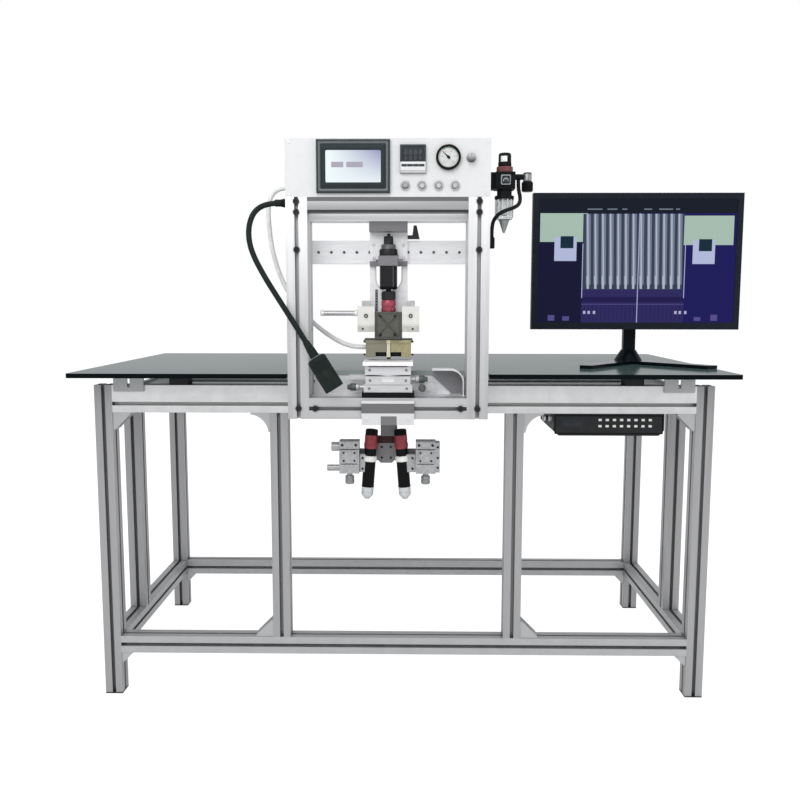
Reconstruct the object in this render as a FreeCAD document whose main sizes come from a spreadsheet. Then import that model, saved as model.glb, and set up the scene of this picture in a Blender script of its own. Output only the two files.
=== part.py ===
"""Bench bonding machine: a slotted-profile table with a glass top, a gantry that carries a
heated press head and its control box, a fine-adjustment platform, two upward-looking
cameras under the table, a screen and a small controller.

All lengths are millimetres. X runs along the table, Y from front to back, Z up. The origin
is on the floor in the middle of the overall box. In the sheets, a place along X is counted from
the middle of the table frame and a place along Y from the frame's front face, and centre_x
and centre_y move both to the origin."""
import FreeCAD, Part
import math
import os
import re
import Sketcher

V = FreeCAD.Vector
doc = FreeCAD.newDocument("bonding_machine")

# Driving sizes
SIZES = {
    # Table frame of square slotted profile
    "profile": 40, "slot_gap": 8.2, "slot_lip": 4.5, "slot_under": 16, "slot_side": 3.5,
    "slot_deep": 12, "slot_floor": 8,
    "frame_length": 1392, "frame_depth": 620, "leg_height": 727, "end_cap": 3,
    "low_rail_z": 100, "front_rail_tall": 62, "front_rail_slot": 20,
    "left_bay": 416, "right_bay": 444, "side_leg_y": 190,
    "gusset_size": 40, "gusset_width": 36, "gusset_wall": 4, "small_gusset": 24,
    "curved_gusset": 44, "seat_gap": 0.3,
    # Glass top, its pads and its corner angles
    "glass_side": 24, "glass_front": 100, "glass_back": 21, "glass_thick": 10,
    "glass_corner": 8, "notch_gap": 3, "pad_tall": 24, "pad_length": 42, "pad_in_left": 192,
    "pad_in_right": 179, "angle_length": 68, "angle_tall": 38, "angle_deep": 36,
    "angle_thick": 5, "angle_inset": 46, "angle_slot": 6,
    # Gantry of heavier profile
    "heavy": 45, "gantry_front": 100, "gantry_x": -31,
    "gantry_width": 425, "box_up": 464, "front_beam_tall": 31, "base_plate_thick": 12,
    "upstand_up": 85, "view_length": 88, "view_width": 24, "bolt_head": 13,
    "bolt_tall": 4, "bolt_drop": 9,
    # Bent guard on the base plate, right of the platform
    "guard_wide": 70, "guard_tall": 58, "guard_wall": 3, "guard_bend": 30, "guard_deep": 36,
    "guard_inset": 2.5, "guard_y": -14,
    # Cross bar with its row of holes
    "bar_tall": 50, "bar_thick": 12, "bar_up": 331, "hole_pitch": 28, "hole_bore": 6,
    "hole_count": 14,
    # Control box
    "box_deep": 320, "box_tall": 118, "box_wall": 2, "panel_thick": 3,
    "hmi_at": -71, "hmi_z": 61, "hmi_wide": 152, "hmi_tall": 108, "hmi_proud": 7,
    "hmi_body_deep": 32, "screen_wide": 114, "screen_tall": 65, "screen_sink": 2,
    "meter_at": 52, "meter_z": 76, "meter_wide": 53, "meter_tall": 57, "meter_proud": 6,
    "meter_body": 45, "meter_body_deep": 60, "cutout_gap": 0.3,
    "gauge_at": 124.7, "gauge_z": 79, "gauge_ring": 51, "gauge_dial": 43, "gauge_proud": 10,
    "gauge_body": 40, "gauge_body_deep": 24, "dial_sink": 4, "needle_length": 17,
    "needle_wide": 2, "needle_thick": 0.8, "needle_lift": 1, "needle_rest": 45,
    "knob_at": 172, "knob_bore": 12, "knob_wide": 20, "knob_tall": 14,
    "button_at": 36.5, "button_pitch": 34.3, "button_z": 22.5, "bezel_wide": 20,
    "bezel_proud": 4, "bezel_bore": 14.6, "button_wide": 14, "press_sink": 0.5,
    "button_stem": 9, "button_travel": 3,
    # Glands on the left side of the box
    "gland_wide": 18, "gland_long": 12, "gland_bore": 12.2, "cable_y": 30, "cable_up": 35,
    "cable_wide": 10, "lamp_gland_y": -78, "lamp_gland_drop": 10,
    # Air preparation unit on the right side of the box
    "air_out": 32.5, "air_y": -60, "air_body_wide": 41, "air_body_up": 19,
    "air_body_tall": 35, "air_neck_tall": 17, "air_neck_wide": 31, "bowl_wide": 38,
    "bowl_tall": 44, "bowl_wall": 2.5, "drain_wide": 22, "drain_tall": 29,
    "air_ring_tall": 12, "air_ring_wide": 33, "air_knob_wide": 28, "air_knob_tall": 28,
    "air_gauge_wide": 20, "air_gauge_proud": 6, "valve_out": 48, "valve_wide": 17,
    "valve_tall": 17, "valve_grip_wide": 24, "valve_grip_tall": 22, "tube_wide": 8,
    "elbow_wide": 13, "elbow_tall": 24, "elbow_y": -62, "elbow_drop": 79, "inlet_bore": 8.2,
    "inlet_deep": 15,
    # Work lamp on its bent arm
    "lamp_forward": 46, "arm_wide": 12, "lamp_neck_wide": 20, "lamp_neck": 36,
    "lamp_wide": 42, "lamp_long": 76, "lamp_wall": 2, "lamp_lens_sink": 4,
    # Press head
    "head_y": -30, "back_plate_wide": 82, "back_plate_thick": 10, "stroke_spare": 2,
    "window_wide": 55, "window_low_up": 273, "window_high_up": 340, "top_block_tall": 21,
    "stay_wide": 26, "stay_tall": 29, "stay_foot": 8, "port_wide": 8, "port_long": 11,
    "cylinder_wide": 38, "cylinder_low_up": 279,
    "cylinder_high_up": 325, "collar_high_up": 346, "barrel_wall": 3, "piston_tall": 6,
    "collar_wide": 42, "ear_wide": 82,
    "ear_tall": 11, "knob_low": 39, "knob_mid": 31, "knob_top": 20, "stroke_knob_tall": 42,
    "rod_wide": 12, "rod_block_wide": 31, "rod_block_tall": 18, "stroke": 30,
    "adjuster_wide": 31, "adjuster_tall": 26, "carriage_wide": 59, "carriage_tall": 58,
    "carriage_deep": 34, "carriage_bevel": 5, "head_foot_up": 169, "wing_wide": 37, "wing_tall": 67,
    "wing_up": 184, "wing_thick": 12, "boss_wide": 9, "boss_tall": 12, "roller_wide": 12,
    "roller_long": 80, "roller_up": 224, "block_wide": 104, "block_tall": 40,
    "block_deep": 42, "block_cap": 9, "block_gap": 24, "block_gap_tall": 11,
    "tip_wide": 8, "tip_up": 123,
    # Guide between the back plate and the carriage
    "rail_wide": 15, "rail_thick": 8, "running_gap": 0.3,
    # Adjustment platform
    "platform_y": -53.5, "platform_wide": 112, "platform_deep": 80, "plinth_tall": 11,
    "stage_tall": 17, "stage_step": 4, "drum_wide": 74, "drum_tall": 3, "turn_block_wide": 98,
    "turn_block_deep": 76, "work_wide": 106, "work_deep": 96, "work_thick": 8, "work_up": 122, "thimble_wide": 16,
    "thimble_long": 30, "barrel_wide": 10, "barrel_long": 10, "x_thimble_y": -60,
    "y_thimble_at": 73, "arm_back": 4, "arm_thick": 12, "wing_arm": 35, "wing_arm_wide": 30,
    # Cameras under the table
    "hanger_wide": 112, "hanger_tall": 40, "hanger_thick": 6, "hanger_foot": 12,
    "hanger_bar": 37, "carrier_wide": 41, "carrier_tall": 55, "cross_drop": 105, "cross_tall": 25, "cross_left": 112,
    "cross_right": 114, "camera_wide": 28, "camera_tilt": 4.3, "camera_left": -49,
    "camera_right": 37, "camera_top_drop": 32, "camera_long": 157, "cap_tall": 12,
    "collar_tall": 28, "ring_tall": 14, "tail_tall": 26, "slide_wide": 44,
    "slide_tall": 72, "slide_drop": 129, "slide_deep": 34, "saddle_tall": 40, "cheek_wide": 9,
    "focus_wide": 20, "focus_long": 26, "side_knob_wide": 20, "side_knob_long": 18,
    "left_slide_at": -87, "right_slide_at": 82,
    # Screen on its stand
    "screen_in": 155, "screen_y": 200, "panel_wide": 506, "panel_tall": 328,
    "panel_up": 86, "panel_deep": 34, "panel_lip": 14,
    "panel_chin": 17, "picture_sink": 2, "panel_rear_step": 14, "tilt_up": 239, "vesa": 100,
    "vesa_bore": 4.2, "vesa_deep": 8,
    "neck_wide": 30, "neck_thick": 16, "neck_gap": 0.4, "neck_ear": 6, "tilt_pin": 10,
    "stand_spread": 158, "stand_reach": 200, "stand_hub": 40, "stand_leg": 26,
    "stand_thick": 8, "stand_rise": 34,
    # Controller under the front rail
    "unit_in": 358, "unit_wide": 248, "unit_tall": 50, "unit_deep": 190,
    "unit_chamfer": 12, "key_rows": 2, "key_count": 8, "key_pitch": 16, "key_row_pitch": 14,
    "key_wide": 7, "key_tall": 5, "key_proud": 1, "unit_window_wide": 44,
    "unit_window_tall": 16, "plug_wide": 13, "plug_long": 20,
}

# Sizes that follow from the driving ones
LAYOUT = {
    "glass_length": "frame_length + 2 * glass_side",
    "inner_leg_left": "left_bay - half_length",
    "inner_leg_right": "half_length - right_bay",
    "pad_left": "pad_in_left - half_length",
    "pad_right": "half_length - pad_in_right",
    "top_rail_z": "leg_height - front_rail_tall",
    "screen_x": "glass_length / 2 - screen_in",
    "panel_z": "glass_top_z + panel_up",
    "tilt_z": "glass_top_z + tilt_up",
    "unit_left": "half_length - unit_in",
    "hmi_x": "gantry_x + hmi_at",
    "meter_x": "gantry_x + meter_at",
    "gauge_x": "gantry_x + gauge_at",
    "knob_x": "gantry_x + knob_at",
    "button_x": "gantry_x + button_at",
    "button_proud": "bezel_proud + button_travel - press_sink",
    "cable_z": "box_floor_z + cable_up",
    "lamp_gland_z": "box_floor_z - lamp_gland_drop",
    "lamp_root_x": "gantry_left - gland_long",
    "air_x": "box_right + air_out",
    "air_body_z": "box_floor_z + air_body_up",
    "valve_x": "air_x + valve_out",
    "elbow_z": "box_floor_z - elbow_drop",
    "back_plate_z": "head_foot_z + stroke + stroke_spare",
    "rod_tall": "collar_high - barrel_wall - running_gap - stroke - carriage_top_z - adjuster_tall",
    "stay_z": "bar_z + bar_tall + 3",
    "left_slide_x": "gantry_x + left_slide_at",
    "right_slide_x": "gantry_x + right_slide_at",
    "y_thimble_x": "gantry_x + y_thimble_at",
    "centre_x": "(screen_x + panel_wide / 2 - glass_length / 2) / 2",
    "centre_y": "(frame_depth + glass_back + lamp_gland_y - lamp_forward - lamp_wide / 2) / 2",
    "half_length": "frame_length / 2",
    "glass_z": "leg_height + pad_tall",
    "glass_top_z": "leg_height + pad_tall + glass_thick",
    "rail_length": "frame_length - 2 * profile",
    "side_length": "frame_depth - 2 * profile",
    "mid_leg_length": "top_rail_z - low_rail_z - profile",
    "column_deep": "2 * heavy",
    "gantry_left": "gantry_x - gantry_width / 2",
    "gantry_inside": "gantry_width - 2 * heavy",
    "upright_back": "column_deep - gantry_front",
    "beam_top_z": "top_rail_z + heavy",
    "upright_length": "box_floor_z - top_rail_z",
    "panel_face": "0 - gantry_front",
    "tilt_y": "screen_y + panel_deep + tilt_pin / 2 + 2",
    "box_right": "gantry_x + gantry_width / 2",
    "air_top_z": "air_body_z + air_body_tall",
    "rear_beam_z": "box_floor_z - heavy",
    "plate_front": "column_deep - gantry_front - back_plate_thick",
    "rail_front": "column_deep - gantry_front - back_plate_thick - rail_thick",
    "carriage_front": "column_deep - gantry_front - back_plate_thick - rail_thick"
                      " - running_gap - carriage_deep",
    "cylinder_y": "column_deep - gantry_front - back_plate_thick - rail_thick"
                  " - adjuster_wide / 2 - 2 * running_gap",
    "carriage_top_z": "head_foot_z + carriage_tall",
    "x_stage_z": "top_rail_z + heavy + plinth_tall + running_gap",
    "y_stage_z": "top_rail_z + heavy + plinth_tall + stage_tall + 2 * running_gap",
    "drum_z": "top_rail_z + heavy + plinth_tall + 2 * stage_tall + 3 * running_gap",
    "cross_front": "head_y + slide_deep / 2 + running_gap",
    "slide_front": "head_y - slide_deep / 2",
    "picture_wide": "panel_wide - 2 * panel_lip",
    "unit_z": "top_rail_z - unit_tall",
    # Heights that are counted up or down from the underside of the top rails
    "upstand_top": "top_rail_z + upstand_up",
    "bar_z": "top_rail_z + bar_up",
    "box_floor_z": "top_rail_z + box_up",
    "window_low": "top_rail_z + window_low_up",
    "window_high": "top_rail_z + window_high_up",
    "cylinder_low": "top_rail_z + cylinder_low_up",
    "cylinder_high": "top_rail_z + cylinder_high_up",
    "collar_high": "top_rail_z + collar_high_up",
    "head_foot_z": "top_rail_z + head_foot_up",
    "wing_z": "top_rail_z + wing_up",
    "roller_z": "top_rail_z + roller_up",
    "tip_z": "top_rail_z + tip_up",
    "work_z": "top_rail_z + work_up",
    "cross_z": "top_rail_z - cross_drop",
    "camera_top_z": "top_rail_z - camera_top_drop",
    "slide_z": "top_rail_z - slide_drop",
}


def make_sheet(name, cells, as_formula):
    """A sheet with one named cell in each row."""
    made = doc.addObject("Spreadsheet::Sheet", name)
    for row, (alias, value) in enumerate(cells.items(), 1):
        made.set("A%d" % row, "'" + alias)
        made.set("B%d" % row, "=" + value if as_formula else str(value))
        made.setAlias("B%d" % row, alias)
    return made


OWNER = {alias: "sizes." + alias for alias in SIZES}
sizes = make_sheet("sizes", SIZES, False)


def bound(text):
    """An expression with each named size spelt with its sheet."""
    return re.sub(r"[a-z][a-z_]*", lambda word: OWNER.get(word.group(0), word.group(0)), str(text))


layout = make_sheet("layout", {alias: bound(text) for alias, text in LAYOUT.items()}, True)
OWNER.update({alias: "layout." + alias for alias in LAYOUT})
doc.recompute()


def value(text):
    """The number that an expression of named sizes gives now."""
    number = sizes.evalExpression(bound(text))
    return float(getattr(number, "Value", number))


TURNS = {
    "+Z": FreeCAD.Rotation(),
    "-Z": FreeCAD.Rotation(V(1, 0, 0), 180),
    "+X": FreeCAD.Rotation(V(0, 1, 0), 90),
    "-X": FreeCAD.Rotation(V(0, 1, 0), -90),
    "+Y": FreeCAD.Rotation(V(1, 0, 0), -90),
    "-Y": FreeCAD.Rotation(V(1, 0, 0), 90),
}


def place(item, at, turn=None):
    """Sets an object down at named sizes, counted from the middle of the frame's front."""
    item.Placement = FreeCAD.Placement(V(), turn or FreeCAD.Rotation())
    for axis, text in zip("xyz", ("(%s) - centre_x" % at[0], "(%s) - centre_y" % at[1], at[2])):
        item.setExpression("Placement.Base." + axis, bound(text))
    return item


def box(name, at, size):
    item = doc.addObject("Part::Box", name)
    for side, text in zip(("Length", "Width", "Height"), size):
        item.setExpression(side, bound(text))
    return place(item, at)


def cylinder(name, at, wide, tall, axis="+Z"):
    item = doc.addObject("Part::Cylinder", name)
    item.setExpression("Radius", bound("(%s) / 2" % wide))
    item.setExpression("Height", bound(tall))
    return place(item, at, TURNS[axis])


def fuse(name, items):
    item = doc.addObject("Part::MultiFuse", name)
    item.Shapes = items
    item.Refine = True
    return item


def cut(name, base, tools):
    item = doc.addObject("Part::Cut", name)
    item.Base = base
    item.Tool = tools[0] if len(tools) == 1 else fuse(name + "_tools", tools)
    item.Refine = True
    return item


def group(name, items):
    """Separate solids of one kind that share a node."""
    item = doc.addObject("Part::Compound", name)
    item.Links = items
    return item


def copy_of(item, name, at, turn=None):
    link = doc.addObject("App::Link", name)
    link.LinkedObject = item
    return place(link, at, turn)


def body(name, at=None, turn=None):
    item = doc.addObject("PartDesign::Body", name)
    return place(item, at, turn) if at else item


def origin_part(owner, role):
    return [part for part in owner.Origin.OriginFeatures if part.Role == role][0]


def sketch(owner, plane="XY", lift="0"):
    made = owner.newObject("Sketcher::SketchObject", owner.Name + "_sketch")
    made.AttachmentSupport = [(origin_part(owner, plane + "_Plane"), "")]
    made.MapMode = "FlatFace"
    made.setExpression("AttachmentOffset.Base.z", bound(lift))
    return made


def fix_point(made, edge, end, x, y):
    """Ties one end of a sketch edge to named sizes, measured from the sketch's origin."""
    for kind, text in (("DistanceX", x), ("DistanceY", y)):
        index = made.addConstraint(Sketcher.Constraint(kind, -1, 1, edge, end, value(text)))
        made.setExpression("Constraints[%d]" % index, bound(text))


def polygon(made, points):
    """A closed outline of straight edges whose corners are named sizes."""
    spots = [V(value(x), value(y), 0) for x, y in points]
    first = made.GeometryCount
    count = len(points)
    for i in range(count):
        made.addGeometry(Part.LineSegment(spots[i], spots[(i + 1) % count]))
    for i in range(count):
        made.addConstraint(Sketcher.Constraint("Coincident", first + i, 2, first + (i + 1) % count, 1))
        fix_point(made, first + i, 1, *points[i])


def rectangle(made, x, y, wide, tall):
    """A rectangle by its centre and its sides."""
    left, right = "(%s) - (%s) / 2" % (x, wide), "(%s) + (%s) / 2" % (x, wide)
    low, high = "(%s) - (%s) / 2" % (y, tall), "(%s) + (%s) / 2" % (y, tall)
    polygon(made, [(left, low), (right, low), (right, high), (left, high)])


def circle(made, x, y, wide):
    centre = V(value(x), value(y), 0)
    edge = made.addGeometry(Part.Circle(centre, V(0, 0, 1), value(wide) / 2))
    fix_point(made, edge, 3, x, y)
    index = made.addConstraint(Sketcher.Constraint("Diameter", edge, value(wide)))
    made.setExpression("Constraints[%d]" % index, bound(wide))


def pad(owner, made, length, flip=False):
    item = owner.newObject("PartDesign::Pad", owner.Name + "_pad")
    item.Profile = made
    item.setExpression("Length", bound(length))
    item.Reversed = flip
    return item


def pocket(owner, made, depth=None, flip=False):
    item = owner.newObject("PartDesign::Pocket", owner.Name + "_pocket")
    item.Profile = made
    if depth is None:
        item.Type = "ThroughAll"
        item.Midplane = True
    else:
        item.setExpression("Length", bound(depth))
    item.Reversed = flip
    return item


def revolve(owner, made, groove=False):
    kind = "PartDesign::Groove" if groove else "PartDesign::Revolution"
    item = owner.newObject(kind, owner.Name + "_turn")
    item.Profile = made
    item.ReferenceAxis = (made, ["V_Axis"])
    item.Angle = 360
    return item


def turned(name, outline, at, axis="+Z", turn=None):
    """A turned piece: radius and height of each corner, about its own axis."""
    owner = body(name, at, turn or TURNS[axis])
    made = sketch(owner, "XZ")
    polygon(made, [("(%s) / 2" % wide, tall) for wide, tall in outline])
    revolve(owner, made)
    return owner


def round_edges(owner, size, pick, bevel=False):
    """Rounds or bevels the edges of a body that pick() accepts."""
    doc.recompute()
    base = owner.Tip
    names = ["Edge%d" % (i + 1) for i, edge in enumerate(base.Shape.Edges) if pick(edge)]
    kind = "PartDesign::Chamfer" if bevel else "PartDesign::Fillet"
    item = owner.newObject(kind, owner.Name + "_edges")
    item.Base = (base, names)
    item.setExpression("Size" if bevel else "Radius", bound(size))
    return item


def along(axis):
    """Accepts straight edges that run along one axis of their body."""
    def test(edge):
        ends = [vertex.Point for vertex in edge.Vertexes]
        if len(ends) != 2 or edge.Curve.TypeId != "Part::GeomLine":
            return False
        run = ends[1] - ends[0]
        return abs(abs(run.dot(axis)) - run.Length) < 1e-6
    return test


def slot_points(x, y, turn):
    """One slot of the profile's section, open towards turn (0 up, 1 left, 2 down, 3 right)."""
    lip = "slot_lip"
    under = "slot_lip + slot_side"
    half = [("slot_gap / 2", "-1"), ("slot_gap / 2", lip), ("slot_under / 2", lip),
            ("slot_under / 2", under), ("slot_floor / 2", "slot_deep")]
    loop = half + [("0 - (%s)" % a, b) for a, b in reversed(half)]
    out = []
    for across, down in loop:
        local = {0: (across, "0 - (%s)" % down), 1: (down, across),
                 2: (across, down), 3: ("0 - (%s)" % down, across)}[turn]
        out.append(("(%s) + %s" % (x, local[0]), "(%s) + %s" % (y, local[1])))
    return out


def bar(name, wide, deep, length, slots, at=None, turn=None):
    """A length of slotted profile: slots lists the place and the side of each slot."""
    owner = body(name, at, turn)
    made = sketch(owner)
    rectangle(made, "0", "0", wide, deep)
    pad(owner, made, length)
    cutter = sketch(owner)
    for x, y, side in slots:
        polygon(cutter, slot_points(x, y, side))
    pocket(owner, cutter)
    return owner


def square_slots(side):
    half = "%s / 2" % side
    return [("0", half, 0), ("0 - " + half, "0", 1), ("0", "0 - " + half, 2), (half, "0", 3)]


def tube_shape(points, wide, label):
    """A round tube along straight runs that tangent arcs join, with its length and radii."""
    spots = [V(*point) for point in points]
    edges = []
    radii = []
    start = spots[0]
    for before, here, after in zip(spots, spots[1:], spots[2:]):
        back, ahead = before - here, after - here
        shorter = min(back.Length, ahead.Length)
        half_turn = (math.pi - back.getAngle(ahead)) / 2
        radius = 0.45 * shorter / math.tan(half_turn)
        reach = radius * math.tan(half_turn)
        first = here + back.normalize() * reach
        last = here + ahead.normalize() * reach
        inward = (back + ahead).normalize()
        middle = here + inward * (radius / math.cos(half_turn) - radius)
        edges.append(Part.LineSegment(start, first).toShape())
        edges.append(Part.Arc(first, middle, last).toShape())
        radii.append(round(radius))
        start = last
    edges.append(Part.LineSegment(start, spots[-1]).toShape())
    path = Part.Wire(edges)
    ring = Part.Wire(Part.makeCircle(wide / 2, spots[0], spots[1] - spots[0]))
    shape = path.makePipeShell([ring], True, True)
    expected = math.pi * wide ** 2 / 4 * path.Length
    print("%s: length %.1f, radii %s, volume %.4f of section times length"
          % (label, path.Length, radii, shape.Volume / expected))
    return shape


def tube(name, points, wide, at=("0", "0", "0")):
    """A bent tube or cord from a route of points, counted from a place of named sizes."""
    item = doc.addObject("Part::Feature", name)
    item.Shape = tube_shape(points, value(wide), name)
    return place(item, at)


# Table frame: legs, rails, end caps and brackets
def table_frame():
    quarter = square_slots("profile")
    leg = bar("leg_bar", "profile", "profile", "leg_height - end_cap", quarter)
    post = bar("post_bar", "profile", "profile", "mid_leg_length", quarter)
    long_rail = bar("long_rail_bar", "profile", "profile", "rail_length", quarter)
    side_rail = bar("side_rail_bar", "profile", "profile", "side_length", quarter)
    left, right = "profile / 2 - half_length", "half_length - profile / 2"
    near, far = "profile / 2", "frame_depth - profile / 2"
    corners = [(x, y) for x in (left, right) for y in (near, far)]
    group("corner_legs", [copy_of(leg, "leg", (x, y, "end_cap")) for x, y in corners])
    caps = []
    for x, y in corners:
        cap = body("end_cap_plate", (x, y, "0"))
        made = sketch(cap)
        rectangle(made, "0", "0", "profile", "profile")
        pad(cap, made, "end_cap")
        caps.append(cap)
    group("leg_end_caps", caps)
    posts = [("inner_leg_left", near), ("inner_leg_right", near),
             (left, "side_leg_y + profile / 2"), (right, "side_leg_y + profile / 2")]
    group("mid_legs", [copy_of(post, "post", (x, y, "low_rail_z + profile")) for x, y in posts])
    start = "profile - half_length"
    rails = []
    low, high = "low_rail_z + profile / 2", "top_rail_z + profile / 2"
    for y, z in ((near, low), (far, low), (far, high)):
        rails.append(copy_of(long_rail, "long_rail", (start, y, z), TURNS["+X"]))
    for x in (left, right):
        for z in (low, high):
            rails.append(copy_of(side_rail, "side_rail", (x, "profile", z), TURNS["+Y"]))
    group("frame_rails", rails)
    front = body("front_top_rail", (start, "profile / 2", "top_rail_z"), TURNS["+X"])
    made = sketch(front)
    rectangle(made, "0 - front_rail_tall / 2", "0", "front_rail_tall", "profile")
    pad(front, made, "rail_length")
    cutter = sketch(front)
    polygon(cutter, slot_points("0 - front_rail_slot", "profile / 2", 0))
    polygon(cutter, slot_points("0 - front_rail_slot", "0 - profile / 2", 2))
    polygon(cutter, slot_points("0", "0", 3))
    polygon(cutter, slot_points("0 - front_rail_tall", "0", 1))
    pocket(front, cutter)


def gusset(name, size):
    """A cast corner bracket in the XZ quarter right and up of its corner, ribs on both sides."""
    owner = body(name)
    made = sketch(owner, "XZ")
    nose = "gusset_wall"
    polygon(made, [("0", "0"), (size, "0"), (size, nose), (nose, size), ("0", size)])
    pad(owner, made, "gusset_width")
    hollow = sketch(owner, "XZ", "gusset_wall")
    polygon(hollow, [(nose, nose), ("%s + 1" % size, nose), ("%s + 1" % size, "%s + 1" % size),
                     (nose, "%s + 1" % size)])
    pocket(owner, hollow, "gusset_width - 2 * gusset_wall", True)
    return owner


def curved_gusset():
    """A plate bracket whose free edge is a hollow quarter round."""
    owner = body("curved_gusset_plate")
    made = sketch(owner, "XZ")
    polygon(made, [("0", "0"), ("curved_gusset", "0"), ("curved_gusset", "curved_gusset"),
                   ("0", "curved_gusset")])
    pad(owner, made, "gusset_width")
    bite = sketch(owner, "XZ")
    circle(bite, "curved_gusset + gusset_wall", "curved_gusset + gusset_wall", "2 * curved_gusset")
    pocket(owner, bite)
    return owner


def glass_angle():
    """An angle under the glass edge: one leaf on the rail's face, one under the glass."""
    owner = body("glass_angle_plate")
    made = sketch(owner, "YZ")
    polygon(made, [("0 - angle_thick", "0 - angle_tall"), ("0", "0 - angle_tall"),
                   ("0", "0 - angle_thick"), ("angle_deep", "0 - angle_thick"),
                   ("angle_deep", "0"), ("0 - angle_thick", "0")])
    pad(owner, made, "angle_length")
    cutter = sketch(owner, "XZ")
    rectangle(cutter, "angle_length / 2", "0 - angle_tall / 2", "angle_slot", "angle_tall / 2")
    pocket(owner, cutter, "angle_thick", True)
    return owner


def frame_brackets():
    ribbed = gusset("ribbed_gusset", "gusset_size")
    small = gusset("small_ribbed_gusset", "small_gusset")
    curved = curved_gusset()
    angle = glass_angle()
    right_down = FreeCAD.Rotation(V(0, 1, 0), 90)
    left_down = FreeCAD.Rotation(V(0, 1, 0), 180)
    left_up = FreeCAD.Rotation(V(0, 1, 0), 270)
    inner_left, inner_right = "profile - half_length", "half_length - profile"
    front = "(profile + gusset_width) / 2"
    rear = "frame_depth - (profile - gusset_width) / 2"
    items = []
    for y in (front, rear):
        items.append(copy_of(ribbed, "gusset", (inner_left, y, "top_rail_z"), right_down))
        items.append(copy_of(ribbed, "gusset", (inner_right, y, "top_rail_z"), left_down))
        items.append(copy_of(small, "gusset", (inner_left, y, "low_rail_z"), right_down))
        items.append(copy_of(small, "gusset", (inner_right, y, "low_rail_z"), left_down))
    left_face, right_face = "inner_leg_left - profile / 2", "inner_leg_right + profile / 2"
    items.append(copy_of(curved, "gusset", (left_face, front, "top_rail_z"), left_down))
    items.append(copy_of(curved, "gusset", (right_face, front, "top_rail_z"), right_down))
    low = "low_rail_z + profile"
    items.append(copy_of(ribbed, "gusset", (left_face, front, low), left_up))
    items.append(copy_of(ribbed, "gusset", (right_face, front, low)))
    for x in ("angle_inset - half_length", "half_length - angle_inset - angle_length"):
        items.append(copy_of(angle, "angle", (x, "0", "glass_z")))
    group("frame_brackets", items)


# Glass top with the notch for the gantry, and what it rests on
def glass_top():
    owner = body("glass_top", ("0", "0", "glass_z"))
    made = sketch(owner)
    left, right = "0 - glass_length / 2", "glass_length / 2"
    front, back = "0 - glass_front", "frame_depth + glass_back"
    notch_left, notch_right = "gantry_left - notch_gap", "box_right + notch_gap"
    polygon(made, [(left, front), (notch_left, front), (notch_left, "0"), (notch_right, "0"),
                   (notch_right, front), (right, front), (right, back), (left, back)])
    pad(owner, made, "glass_thick")
    upright_edges = along(V(0, 0, 1))
    reach = value("glass_length / 2") - 1
    round_edges(owner, "glass_corner",
                lambda edge: upright_edges(edge) and abs(edge.Vertexes[0].Point.x) > reach)
    pads = []
    for x in ("pad_left", "pad_right"):
        pads.append(box("pad", ("%s - pad_length / 2" % x, "0", "leg_height"),
                        ("pad_length", "profile", "pad_tall")))
        pads.append(box("rear_pad", ("%s - pad_length / 2" % x, "frame_depth - profile",
                                     "top_rail_z + profile"),
                        ("pad_length", "profile", "glass_z - top_rail_z - profile")))
    group("glass_pads", pads)


# Gantry: uprights, beams, the plate behind them and the bolts
def gantry():
    half, quarter = "heavy / 2", "heavy / 2"
    tall_slots = [("0", "column_deep / 2", 0), ("0", "0 - column_deep / 2", 2)]
    for y in ("column_deep / 4", "0 - column_deep / 4"):
        tall_slots += [("0 - " + half, y, 1), (half, y, 3)]
    upright = bar("upright_bar", "heavy", "column_deep", "upright_length", tall_slots)
    middle = "column_deep / 2 - gantry_front"
    group("gantry_uprights", [
        copy_of(upright, "upright", ("gantry_left + " + half, middle, "top_rail_z")),
        copy_of(upright, "upright", ("box_right - " + half, middle, "top_rail_z"))])
    square = bar("beam_bar", "heavy", "heavy", "gantry_inside", square_slots("heavy"))
    flat_slots = [("0", quarter, 0), ("0", "0 - " + quarter, 2)]
    flat = bar("flat_beam_bar", "front_beam_tall", "heavy", "gantry_inside", flat_slots)
    start = "gantry_left + heavy"
    front_y, rear_y = "heavy / 2 - gantry_front", "upright_back - heavy / 2"
    group("gantry_beams", [
        copy_of(square, "beam", (start, front_y, "top_rail_z + heavy / 2"), TURNS["+X"]),
        copy_of(square, "beam", (start, rear_y, "box_floor_z - heavy / 2"), TURNS["+X"]),
        copy_of(flat, "beam", (start, front_y, "box_floor_z - front_beam_tall / 2"),
                TURNS["+X"])])


def view_window(owner):
    """The long hole through which the cameras look up."""
    made = sketch(owner)
    straight = "view_length - view_width"
    rectangle(made, "0", "0", straight, "view_width")
    pocket(owner, made)
    for side in ("0 - (%s) / 2" % straight, "(%s) / 2" % straight):
        end = sketch(owner)
        circle(end, side, "0", "view_width")
        pocket(owner, end)


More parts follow.
